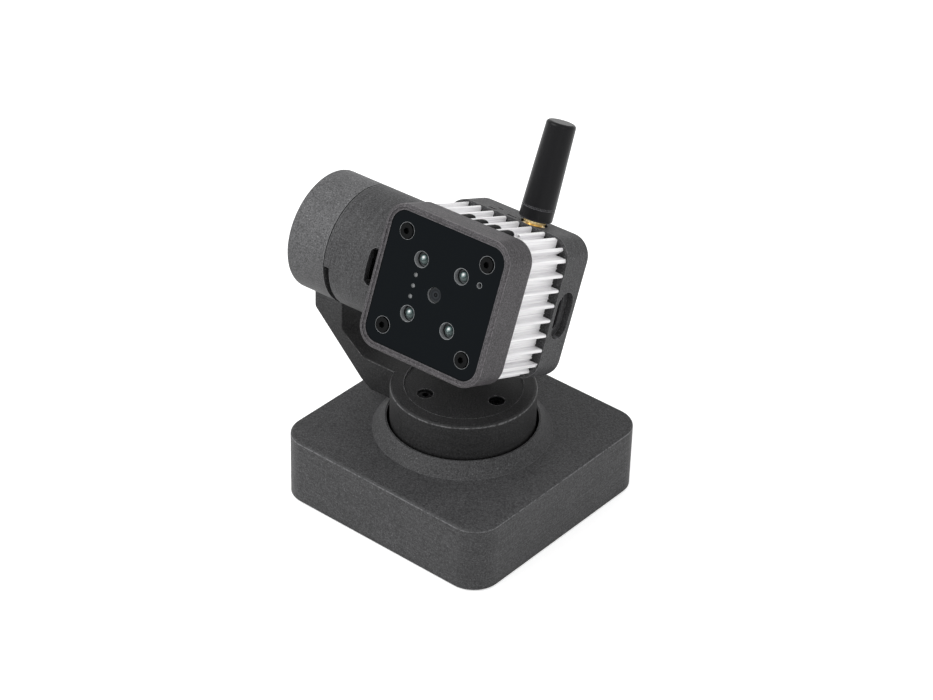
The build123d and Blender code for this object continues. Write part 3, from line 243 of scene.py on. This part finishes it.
def printed_nylon(name, colour, grain_mm, layer_mm, layer_tone, axis=(0, 0, 1), painted_height_shade=False):
    """Sintered nylon, powder printed and dyed: a dry, grainy dark surface whose walls show the layers as fine
    lines, with pale specks that are partly loose powder and partly painted glints, painted shade in recesses, and
    edges lightened partly by wear and partly by a painted highlight."""
    material, tree, surface, place = new_material(name, {"Roughness": 0.55, "Specular IOR Level": 0.2})
    dark, light = (scaled(colour, tone) for tone in GRAIN_TONES)
    fine = add(tree, "TexNoise", blobs(place, grain_mm, 2.0))
    body = add(tree, "ValToRGB", (fine,), stops=((0.3, dark), (0.7, light)))
    drift = add(tree, "TexNoise", blobs(place, CLOUD_SIZE))
    cloud = add(tree, "ValToRGB", (drift,), stops=((0.3, (CLOUD_TONE,) * 3), (0.7, (1, 1, 1))))
    # Painted shade: the colour darkens in recesses and where parts come close, by how little open sky a point sees
    open_sky = add(tree, "AmbientOcclusion", {"Distance": RECESS_REACH * MM}, "AO", samples=4)
    painted_recess_shade = add(tree, "MapRange", (open_sky, 0.3, 0.75, RECESS_SHADE_TONE))
    lines = layers(tree, place, axis, layer_mm)
    line_tone = add(tree, "MapRange", (lines, -1.0, 1.0, 1 - layer_tone, 1 + layer_tone))
    for level in (cloud, painted_recess_shade, line_tone):
        body = add(tree, "Mix", {"Factor": 1.0, 6: body, 7: level}, 2, **TIMES)
    # Pale specks: partly loose powder, partly painted glints on the grains
    speck = add(tree, "MapRange", (add(tree, "TexNoise", blobs(place, SPECK_SIZE, 1.0)), 0.62, 0.74, 0.0, 0.6))
    body = add(tree, "Mix", {"Factor": speck, 6: body, 7: rgba(scaled(colour, SPECK_TONE))}, 2, data_type="RGBA")
    highlight_band = rounded_edges(tree, axis)
    if painted_height_shade:
        # Painted shade and light by height: the bracket is darker at the pan drum's end under the head and lighter
        # up on the cup, and only the drum's rim keeps the painted highlight of its rounded edge
        height = add(tree, "SeparateXYZ", (place,), "Z")
        painted_shade = add(tree, "MapRange", (height, *PAINTED_SHADE_HEIGHTS, *PAINTED_SHADE_TONES), interpolation_type="SMOOTHSTEP")
        body = add(tree, "Mix", {"Factor": 1.0, 6: body, 7: painted_shade}, 2, **TIMES)
        rim_highlight = add(tree, "MapRange", (height, RIM_HEIGHT, PAINTED_SHADE_HEIGHTS[0], 0.0, RIM_HIGHLIGHT))
        highlight_band = add(tree, "Math", (highlight_band, rim_highlight), operation="MULTIPLY")
    # Lighter edges: partly wear on the edges and partly a painted highlight where they catch the light, broken
    # into patches
    edges = add(tree, "Math", (edge_mask(tree, WORN_LIT_RADIUS), highlight_band), operation="MAXIMUM")
    patchy = add(tree, "MapRange", (add(tree, "TexNoise", blobs(place, PATCH_SIZE)), 0.38, 0.58, 0.15))
    rubbed_and_highlit = add(tree, "Math", (edges, patchy), operation="MULTIPLY")
    worn_and_highlit = add(tree, "Mix", {"Factor": rubbed_and_highlit, 6: body, 7: rgba(scaled(colour, WORN_HIGHLIGHT_TONE))}, 2, data_type="RGBA")
    tree.links.new(worn_and_highlit, surface.inputs["Base Color"])
    ridges = add(tree, "Bump", {"Height": lines, "Distance": LAYER_DEPTH * layer_tone * MM})
    grains = add(tree, "Bump", {"Height": fine, "Distance": GRAIN_DEPTH * MM, "Normal": ridges})
    tree.links.new(grains, surface.inputs["Normal"])
    return material


def plain_finish(name, colour, roughness, metallic=0.0, size_mm=1.0, spread=0.15, depth_mm=0.01, **more):
    """A finish with a slight drift of tone and a shallow relief of the given size."""
    shader = {"Roughness": roughness, "Metallic": metallic, **more}
    material, tree, surface, place = new_material(name, shader)
    cloud = add(tree, "TexNoise", blobs(place, size_mm))
    dark, light = scaled(colour, 1 - spread), scaled(colour, 1 + spread)
    tone = add(tree, "ValToRGB", (cloud,), stops=((0.3, dark), (0.7, light)))
    tree.links.new(tone, surface.inputs["Base Color"])
    relief = add(tree, "Bump", {"Height": cloud, "Distance": depth_mm * MM})
    tree.links.new(relief, surface.inputs["Normal"])
    return material


def brushed_metal(name, colour, roughness, axis, pitch_mm=0.25, depth_mm=0.006, metallic=1.0):
    """Metal with fine lines along one direction: noise squeezed across the lines and stretched along them."""
    material, tree, surface, place = new_material(name, {"Metallic": metallic, "Roughness": roughness})
    drawn = add(tree, "Mapping", squeezed(place, axis, 1.0, BRUSH_STRETCH), vector_type="TEXTURE")
    lines = add(tree, "TexNoise", blobs(drawn, pitch_mm, 2.0))
    dark, light = (scaled(colour, tone) for tone in BRUSH_TONES)
    tone = add(tree, "ValToRGB", (lines,), stops=((0.35, dark), (0.6, light)))
    tree.links.new(tone, surface.inputs["Base Color"])
    relief = add(tree, "Bump", {"Height": lines, "Distance": depth_mm * MM})
    tree.links.new(relief, surface.inputs["Normal"])
    return material


# Meshes
def surface_mesh(name, grid, place, material, wrap=True):
    """Puts a grid of points P[i, j], in millimetres, into a mesh; wrap joins the last column to the first."""
    rows, columns = grid.shape[:2]
    i, j = np.meshgrid(np.arange(rows - 1), np.arange(columns if wrap else columns - 1), indexing="ij")
    k = (j + 1) % columns
    quads = np.stack([i * columns + j, i * columns + k, (i + 1) * columns + k, (i + 1) * columns + j], -1)
    points = grid.reshape(-1, 3) * MM
    moved = points @ np.array(place.to_3x3()).T + np.array(place.translation)
    mesh = bpy.data.meshes.new(name)
    mesh.from_pydata(moved.tolist(), [], quads.reshape(-1, 4).tolist())
    work = bmesh.new()
    work.from_mesh(mesh)
    bmesh.ops.remove_doubles(work, verts=work.verts, dist=1e-7)
    bmesh.ops.recalc_face_normals(work, faces=work.faces)
    work.to_mesh(mesh)
    work.free()
    mesh.materials.append(material)
    piece = bpy.data.objects.new(name, mesh)
    bpy.context.scene.collection.objects.link(piece)
    return piece


def lathe(profile, count=64, teeth=0, depth=0.0):
    """P(s, a) = (q cos a, q sin a, z(s)), where q = r(s) - depth |sin(teeth a / 2)| on toothed rows."""
    r, z, toothed = np.array([(*p, 0)[:3] for p in profile], float).T
    a = np.linspace(0, 2 * np.pi, count, endpoint=False)
    q = r[:, None] - toothed[:, None] * depth * np.abs(np.sin(teeth * a / 2))[None]
    return np.stack([q * np.cos(a), q * np.sin(a), np.repeat(z[:, None], count, 1)], -1)


def many(name, grids, places, material):
    """Joins one surface per grid and place into one piece."""
    pieces = [surface_mesh(name, grid, place, material) for grid, place in zip(grids, places)]
    work = bmesh.new()
    for piece in pieces:
        work.from_mesh(piece.data)
    first, *rest = pieces
    work.to_mesh(first.data)
    work.free()
    for piece in rest:
        bpy.data.objects.remove(piece)
    return first


def dress(material, *nodes):
    """Gives CAD nodes a material in their own slots."""
    for name in nodes:
        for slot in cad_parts[name].material_slots:
            slot.material = material


class Piece:
    """Shared by the operators: they run on the whole part and take no selection."""

    bl_options = {"REGISTER", "UNDO"}


class HousingFinish(Piece, bpy.types.Operator):
    """Printed nylon on the base, the bracket, the turning drum and the covers"""

    bl_idname = "pan_tilt.housings"
    bl_label = "Printed housings"

    def execute(self, context):
        look = context.scene.camera_finishes
        size = look.grain, look.layer
        # Each print has its own tone of layer lines, strongest where the photograph's walls are ribbed by them
        dress(printed_nylon("sintered nylon base", look.base_nylon, *size, 0.13), "base_housing",
              "base_bottom_plate")
        dress(printed_nylon("sintered nylon bracket", look.arm_nylon, *size, 0.08, painted_height_shade=True), "pan_bracket")
        dress(printed_nylon("sintered nylon drum", look.drum_nylon, *size, 0.16, ACROSS), "tilt_drum")
        dress(printed_nylon("sintered nylon front cover", look.cover_nylon, *size, 0.1, FORWARD), "front_cover")
        dress(printed_nylon("sintered nylon rear cover", look.rear_nylon, *size, 0.08, FORWARD), "rear_cover")
        return {"FINISHED"}


# Black fingers between the fins, in millimetres: width, length, radius of the top edge, and reach up and back
FINGER_WIDTH, FINGER_LENGTH, FINGER_EDGE = 2.8, 5.5, 0.8
FINGER_LOW, FINGER_HIGH, COVER_BACK = 17.51, 19.95, 10.7
FIN_PITCH, CHANNELS = 4.2, (-1, 0, 1, 2)


def finger():
    """P(s, a) = (q cos a, y(s), -(f + q sin a)) for the round end, a from 0 to pi, then two corners at the cover;
    q = w / 2 - e (1 - cos s) and y = h - e + e sin s over the rounded top edge."""
    s = np.linspace(0, np.pi / 2, 7)
    q = FINGER_WIDTH / 2 - FINGER_EDGE * (1 - np.cos(s))
    y = FINGER_HIGH - FINGER_EDGE + FINGER_EDGE * np.sin(s)
    q = np.concatenate([[0, q[0]], q, [0]])[:, None]
    y = np.concatenate([[FINGER_LOW, FINGER_LOW], y, [FINGER_HIGH]])[:, None]
    a = np.linspace(0, np.pi, 25)[None]
    flat = COVER_BACK + FINGER_LENGTH - FINGER_WIDTH / 2
    x = np.concatenate([q * np.cos(a), -q, q], 1)
    depth = np.concatenate([flat + q * np.sin(a), 0 * q + COVER_BACK, 0 * q + COVER_BACK], 1)
    return np.stack([x, y + 0 * x, -depth], -1)


class CombFinish(Piece, bpy.types.Operator):
    """Black cooling fingers, flush with the front cover, in the channels on top of the head"""

    bl_idname = "pan_tilt.comb"
    bl_label = "Comb fingers"

    def execute(self, context):
        # Nylon dyed black: dry and grainy, with hardly any shine, so it stays dark beside the fins
        black = plain_finish("black nylon", context.scene.camera_finishes.comb, 0.75, size_mm=0.42, spread=0.5,
                             depth_mm=0.06, **{"Specular IOR Level": 0.1})
        places = [FRONT @ Matrix.Translation((FIN_PITCH * n * MM, 0, 0)) for n in CHANNELS]
        fingers = many("comb_fingers", [finger() for n in CHANNELS], places, black)
        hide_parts("finger_comb")
        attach(fingers, "camera_head")
        return {"FINISHED"}


class SoleFinish(Piece, bpy.types.Operator):
    """Matte moulded rubber under the base"""

    bl_idname = "pan_tilt.sole"
    bl_label = "Rubber sole"

    def execute(self, context):
        # Moulded rubber: no shine, a dusty drift of tone
        dress(plain_finish("moulded rubber", linear("2a2a2a"), 0.85, size_mm=2.0, depth_mm=0.03), "rubber_sole")
        return {"FINISHED"}


class ScrewFinish(Piece, bpy.types.Operator):
    """Blackened steel on every cap screw"""

    bl_idname = "pan_tilt.screws"
    bl_label = "Cap screws"

    def execute(self, context):
        # Black oxide on steel: a dark, slightly satin skin that keeps the heads blacker than the prints
        steel = plain_finish("black oxide steel", linear("08090a"), 0.25, 0.1, size_mm=0.4, spread=0.25,
                             depth_mm=0.006, **{"Specular IOR Level": 0.12})
        dress(steel, *[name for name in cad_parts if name.endswith("_screws")])
        return {"FINISHED"}


# Drilled holes of the front panel, in millimetres: places across and up, and the radius of each edge
SCREW_AT, SCREW_RING = 13.07, 2.25
LAMP_AT, LAMP_RING = (6.52, 7.5), 2.15
SOUND_HOLE = (12.45, 7.24, 0.7)
FACE_SUNK = 0.6
# Section of the rings that stand for the chamfers: width, depth into the panel, rise over it, reach into the hole
EDGE_WIDTH, EDGE_DEPTH, EDGE_RISE, EDGE_REACH = 0.09, 0.05, 0.012, 0.01


def ring_edge(radius):
    """A closed ring of square section: P(s, a) = (r(s) cos a, r(s) sin a, z(s)) round the hole's edge."""
    inner, outer = radius - EDGE_REACH, radius + EDGE_WIDTH
    return lathe([(inner, -EDGE_DEPTH), (outer, -EDGE_DEPTH), (outer, EDGE_RISE), (inner, EDGE_RISE),
                  (inner, -EDGE_DEPTH)], 48)


class PanelFinish(Piece, bpy.types.Operator):
    """Polished black acrylic front panel with the edges of its drilled holes"""

    bl_idname = "pan_tilt.panel"
    bl_label = "Front panel"

    def execute(self, context):
        dress(self.acrylic(context.scene.camera_finishes.panel), "front_panel")
        corners = [(x, y) for x in (-1, 1) for y in (-1, 1)]
        holes = [(SCREW_AT * x, SCREW_AT * y, SCREW_RING) for x, y in corners]
        holes += [(LAMP_AT[0] * x, LAMP_AT[1] * y, LAMP_RING) for x, y in corners] + [SOUND_HOLE]
        places = [FRONT @ Matrix.Translation((x * MM, y * MM, -FACE_SUNK * MM)) for x, y, radius in holes]
        # Acrylic left dull by the drill: the chamfer of a hole catches a thin line of light
        cut_edge = plain_finish("chamfered acrylic", linear("7c7e80"), 0.3, size_mm=0.6, spread=0.5)
        rings = many("hole_edges", [ring_edge(radius) for x, y, radius in holes], places, cut_edge)
        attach(rings, "camera_head")
        return {"FINISHED"}

    def acrylic(self, colour):
        # Cast acrylic, polished: deep and nearly black, with a clear gloss and soft smears, and frosted where cut
        material, tree, surface, place = new_material("cast acrylic", {"Specular IOR Level": 0.06})
        face = add(tree, "MapRange", (facing(tree, FORWARD), 0.3, 0.6))
        frost = add(tree, "TexNoise", blobs(place, 0.3))
        cut = add(tree, "ValToRGB", (frost,), stops=((0.3, linear("6b6d6f")), (0.7, linear("8b8d8f"))))
        tone = add(tree, "Mix", {"Factor": face, 6: cut, 7: rgba(colour)}, 2, data_type="RGBA")
        tree.links.new(tone, surface.inputs["Base Color"])
        smear = add(tree, "TexNoise", blobs(place, 7.0, 4.0))
        gloss = add(tree, "MapRange", (smear, 0.0, 1.0, 0.06, 0.16))
        dull = add(tree, "Math", (1.0, face), operation="SUBTRACT")
        rough = add(tree, "Math", (dull, 0.4, gloss), operation="MULTIPLY_ADD")
        tree.links.new(rough, surface.inputs["Roughness"])
        return material


# Halfway between the way to the key lamp and the way to the camera: the dome's colour holds a painted glint where
# it faces this way, and painted teal and grey shades where it turns away
PAINTED_GLINT = (0.08, -0.67, 0.735)
PAINTED_DOME_TONES = [(0.55, linear("6f7c7b")), (0.82, linear("304142")), (0.95, linear("8fa5a3")),
              (0.985, linear("ffffff"))]


class LampFinish(Piece, bpy.types.Operator):
    """Infrared lamps with their cups, and the three indicator lights"""

    bl_idname = "pan_tilt.lamps"
    bl_label = "Lamps"

    def execute(self, context):
        dress(self.epoxy(), "lamp_domes")
        # Moulded resin package with its cup: dull grey, with a slight drift of tone
        dress(plain_finish("moulded lamp resin", linear("4a4e50"), 0.4, size_mm=0.7, spread=0.2), "infrared_lamps")
        # Diffusing polycarbonate: a dull grey dot while it is off
        dress(plain_finish("diffusing polycarbonate", linear("747677"), 0.4, size_mm=0.6), "indicator_lights")
        return {"FINISHED"}

    def epoxy(self):
        # Cast clear epoxy, partly clear: its colour is painted by which way the dome faces, teal shades standing
        # for the die and the cup inside it and a painted glint for the lamp's image on top
        shader = {"Roughness": 0.05, "IOR": 1.33, "Transmission Weight": 0.35}
        material, tree, surface, place = new_material("clear epoxy", shader)
        normal = add(tree, "TexCoord", out="Normal")
        lean = add(tree, "VectorMath", (normal, PAINTED_GLINT), "Value", operation="DOT_PRODUCT")
        tree.links.new(add(tree, "ValToRGB", (lean,), stops=PAINTED_DOME_TONES), surface.inputs["Base Color"])
        return material


# Painted tones of the lens from its middle out to the rim, over this radius in millimetres: a painted glint in the
# middle, the dark iris, and rings of painted reflections
GLASS_RADIUS = 1.8
PAINTED_GLASS_TONES = [(0.0, linear("4a4e52")), (0.1, linear("0c0d0f")), (0.3, linear("0e0f11")),
               (0.38, linear("303336")), (0.7, linear("222427")), (0.86, linear("2b2d30")),
               (0.92, linear("3c3f42")), (1.0, linear("1f2123"))]


class LensFinish(Piece, bpy.types.Operator):
    """Coated lens glass in a black barrel"""

    bl_idname = "pan_tilt.lens"
    bl_label = "Lens"

    def execute(self, context):
        # Moulded polycarbonate barrel: dull black, so that little light reaches the sensor
        dress(plain_finish("black polycarbonate", linear("222325"), 0.5, size_mm=0.8), "lens_barrel")
        dress(self.glass(), "lens_glass")
        return {"FINISHED"}

    def glass(self):
        # Coated optical glass: its colour is painted in rings round the middle, a grey painted sheen with painted
        # reflections of the lenses behind it, the dark iris, and a painted glint at the very middle
        shader = {"Roughness": 0.12, "Specular IOR Level": 0.08}
        material, tree, surface, place = new_material("coated optical glass", shader)
        centre = tuple(FRONT @ Vector((0, 0, -GLASS_DEPTH)))
        radius = add(tree, "VectorMath", (place, centre), "Value", operation="DISTANCE")
        share = add(tree, "MapRange", (radius, 0.0, GLASS_RADIUS * MM))
        tones = add(tree, "ValToRGB", (share,), stops=PAINTED_GLASS_TONES)
        tones.node.color_ramp.interpolation = "EASE"
        tree.links.new(tones, surface.inputs["Base Color"])
        return material


class HeatsinkFinish(Piece, bpy.types.Operator):
    """Satin aluminium heatsink"""

    bl_idname = "pan_tilt.heatsink"
    bl_label = "Heatsink"

    def execute(self, context):
        # Extruded aluminium, bead blasted and satin anodised: nearly white, with die lines along the fins
        dress(brushed_metal("satin anodised aluminium", context.scene.camera_finishes.fins, 0.4, FORWARD,
                            pitch_mm=0.5, metallic=0.05), "heatsink")
        return {"FINISHED"}


# Radius and height along the connector, from inside the cover up to the antenna; 1 marks a knurled row
CONNECTOR = [
    (0, -5.0), (2.5, -5.0), (2.5, -2.0), (3.4, -2.0), (3.45, -1.95), (3.45, -1.85), (3.2, -1.8), (3.3, -1.7, 1),
    (3.3, -0.6, 1), (3.15, -0.5), (2.5, -0.45), (2.4, -0.35), (2.5, -0.25), (2.4, -0.15), (2.5, -0.05),
    (2.4, 0.05), (2.5, 0.15), (2.9, 0.25), (3.1, 0.35, 1), (3.1, 1.15, 1), (2.95, 1.25), (0, 1.25),
]
KNURL_SIDES, KNURL_TEETH, KNURL_DEPTH = 180, 30, 0.07


class AntennaFinish(Piece, bpy.types.Operator):
    """Moulded antenna on its gold-plated connector"""

    bl_idname = "pan_tilt.antenna"
    bl_label = "Antenna"

    def execute(self, context):
        dress(self.elastomer(context.scene.camera_finishes.antenna), "antenna_sleeve", "antenna_collar")
        # Gold-plated brass: pale and warm, bright on every tooth of the knurl
        gold = plain_finish("gold-plated brass", linear("f3d79c"), 0.28, 1.0, size_mm=0.5, spread=0.08,
                            depth_mm=0.004)
        knurled = lathe(CONNECTOR, KNURL_SIDES, KNURL_TEETH, KNURL_DEPTH)
        connector = surface_mesh("knurled_connector", knurled, ANTENNA, gold)
        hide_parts("antenna_connector")
        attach(connector, "camera_head")
        return {"FINISHED"}

    def elastomer(self, colour):
        # Moulded thermoplastic elastomer: even satin black, greyer where the mould's edges catch the light
        shader = {"Roughness": 0.34, "Specular IOR Level": 0.14}
        material, tree, surface, place = new_material("moulded elastomer", shader)
        cloud = add(tree, "TexNoise", blobs(place, 0.5))
        tone = add(tree, "ValToRGB", (cloud,), stops=((0.3, scaled(colour, 0.88)), (0.7, scaled(colour, 1.12))))
        edge = {"Factor": edge_mask(tree, 0.25), 6: tone, 7: rgba(linear("8c8c90"))}
        tree.links.new(add(tree, "Mix", edge, 2, data_type="RGBA"), surface.inputs["Base Color"])
        relief = add(tree, "Bump", {"Height": cloud, "Distance": 0.012 * MM})
        tree.links.new(relief, surface.inputs["Normal"])
        return material


class InnerFinish(Piece, bpy.types.Operator):
    """Boards, chips, pads, motors, sockets and bearings"""

    bl_idname = "pan_tilt.inner_parts"
    bl_label = "Inner parts"

    def execute(self, context):
        # Glass-epoxy board under green solder mask: half gloss, mottled by the weave
        dress(plain_finish("solder mask on glass epoxy", linear("1c4a33"), 0.35, size_mm=0.8, spread=0.3),
              "base_circuit_board", "lamp_board", "sensor_board", "main_board", "interface_board")
        # Moulded epoxy chip bodies: dull and dark
        dress(plain_finish("moulded epoxy", linear("222324"), 0.55, size_mm=0.3),
              "motor_driver_chips", "processor_chip")
        # Silicone pad: soft, dull blue-grey
        dress(plain_finish("silicone pad", linear("8b97a8"), 0.8, size_mm=0.7),
              "sensor_thermal_pad", "processor_thermal_pad")
        # Turned aluminium cores; the bells are coloured near black as painted shade, so the slots over them look
        # dark
        dress(brushed_metal("turned aluminium", linear("a9a9ad"), 0.35, (0, 0, 1)), "pan_motor_stator",
              "tilt_motor_stator")
        dress(brushed_metal("dark aluminium as painted shade", linear("222224"), 0.4, (0, 0, 1)), "pan_motor_rotor",
              "tilt_motor_rotor")
        # Nickel-plated magnets: bright and smooth
        dress(plain_finish("nickel plate", linear("9a9a9c"), 0.3, 1.0), "pan_motor_magnets", "tilt_motor_magnets")
        # Enamelled copper wire, wound close: warm, with the turns as deep lines
        dress(brushed_metal("enamelled copper", linear("b5653a"), 0.3, (0, 0, 1), pitch_mm=0.3, depth_mm=0.03),
              "pan_motor_windings", "tilt_motor_windings")
        # Ground bearing steel and turned pillars: the brightest metal inside
        dress(plain_finish("ground steel", linear("c4c4c6"), 0.18, 1.0), "pan_motor_bearings",
              "tilt_motor_bearings", "lamp_board_spacers", "interface_board_pillars")
        # Nickel-plated steel socket shells: a grey rim in the dark recess
        dress(plain_finish("nickel-plated steel", linear("7c7c7e"), 0.3, 1.0), "base_power_socket", "side_socket")
        return {"FINISHED"}


# The studio: places and size of the soft lamps in metres, what they look at, and the paper floor in millimetres
KEY_AT, FILL_AT, LAMP_WIDE, LAMP_AIM = (-0.5, -0.7, 1.0), (1.0, -0.5, 0.7), 0.8, (0, 0, 0.05)
FLOOR_HALF, FLOOR_DROP = 3000.0, 0.05
PAPER, PAPER_LIFT = "e6e6e6", 0.55
SENSOR_WIDE, CLIP_START = 36.0, 0.01


class Studio(Piece, bpy.types.Operator):
    """Pale floor, white room, two soft lamps and the camera"""

    bl_idname = "pan_tilt.studio"
    bl_label = "Studio"

    def execute(self, context):
        scene, studio = context.scene, context.scene.camera_studio
        scene.view_settings.view_transform = "Standard"
        self.floor()
        self.room(scene, studio.ambient)
        self.lamp(scene, "key lamp", KEY_AT, studio.key)
        self.lamp(scene, "fill lamp", FILL_AT, studio.fill)
        self.camera(scene, studio)
        return {"FINISHED"}

    def floor(self):
        """P(u, v) = (u, v, 0) on a square of 6 m, just under the part."""
        line = np.linspace(-FLOOR_HALF, FLOOR_HALF, 9)
        x, y = np.meshgrid(line, line, indexing="ij")
        # Matte white paper, lifted for the eye only, so the part's shadow stays soft and pale
        material = bpy.data.materials.new("white paper sweep")
        tree = empty_tree(material)
        paper = add(tree, "BsdfDiffuse", {"Color": rgba(linear(PAPER))})
        lift = add(tree, "Math", (seen_rays(tree), PAPER_LIFT), operation="MULTIPLY")
        glow = add(tree, "Emission", {"Strength": lift})
        add(tree, "OutputMaterial", {"Surface": add(tree, "AddShader", (paper, glow))})
        grid = np.stack([x, y, 0 * x - FLOOR_DROP], -1)
        floor = surface_mesh("floor", grid, Matrix.Identity(4), material, False)

    def room(self, scene, ambient):
        """A white room: full strength where it is seen, the ambient strength where it lights."""
        scene.world = bpy.data.worlds.new("white room")
        tree = empty_tree(scene.world)
        level = add(tree, "Mix", {"Factor": seen_rays(tree), 2: ambient, 3: 1.0}, data_type="FLOAT")
        back = add(tree, "Background", {"Color": (1, 1, 1, 1), "Strength": level})
        add(tree, "OutputWorld", {"Surface": back})

    def lamp(self, scene, name, place, power):
        """A round soft lamp that looks at the part."""
        data = bpy.data.lights.new(name, "AREA")
        data.shape, data.size, data.energy = "DISK", LAMP_WIDE, power
        lamp = bpy.data.objects.new(name, data)
        scene.collection.objects.link(lamp)
        lamp.location = place
        aim = Vector(LAMP_AIM) - Vector(place)
        lamp.rotation_euler = aim.to_track_quat("-Z", "Y").to_euler()

    def camera(self, scene, studio):
        """The photograph's camera: its way back from the part, then right and up, turned by the roll."""
        a, e, r = studio.azimuth, studio.elevation, studio.roll
        back = Vector((math.sin(a) * math.cos(e), -math.cos(a) * math.cos(e), math.sin(e)))
        level = Vector((math.cos(a), math.sin(a), 0))
        upright = back.cross(level)
        right = math.cos(r) * level + math.sin(r) * upright
        up = math.cos(r) * upright - math.sin(r) * level
        data = bpy.data.cameras.new("camera")
        data.lens, data.sensor_width, data.sensor_fit = studio.focal, SENSOR_WIDE, "HORIZONTAL"
        data.clip_start = CLIP_START
        camera = bpy.data.objects.new("camera", data)
        scene.collection.objects.link(camera)
        place = back * studio.distance + right * studio.side + up * studio.rise
        camera.matrix_world = Matrix.Translation(place) @ Matrix((right, up, back)).transposed().to_4x4()
        scene.camera = camera


class CameraPanel(bpy.types.Panel):
    """Lists the camera's pieces and finishes"""

    bl_idname = "VIEW3D_PT_pan_tilt_camera"
    bl_label = "Pan-tilt camera"
    bl_space_type = "VIEW_3D"
    bl_region_type = "UI"
    bl_category = "Camera"

    def draw(self, context):
        for operator in OPERATORS:
            self.layout.operator(operator.bl_idname)
        for group in (context.scene.camera_finishes, context.scene.camera_studio):
            for name in group.__annotations__:
                self.layout.prop(group, name)


OPERATORS = (HousingFinish, CombFinish, SoleFinish, ScrewFinish, PanelFinish, LampFinish, LensFinish,
             HeatsinkFinish, AntennaFinish, InnerFinish, Studio)
CLASSES = (CameraFinishes, CameraStudio, *OPERATORS, CameraPanel)


def register():
    for cls in CLASSES:
        bpy.utils.register_class(cls)
    bpy.types.Scene.camera_finishes = PointerProperty(type=CameraFinishes)
    bpy.types.Scene.camera_studio = PointerProperty(type=CameraStudio)


def unregister():
    del bpy.types.Scene.camera_studio
    del bpy.types.Scene.camera_finishes
    for cls in reversed(CLASSES):
        bpy.utils.unregister_class(cls)


def main():
    register()
    for operator in OPERATORS:
        group, name = operator.bl_idname.split(".")
        getattr(getattr(bpy.ops, group), name)()


if __name__ == "__main__":
    main()
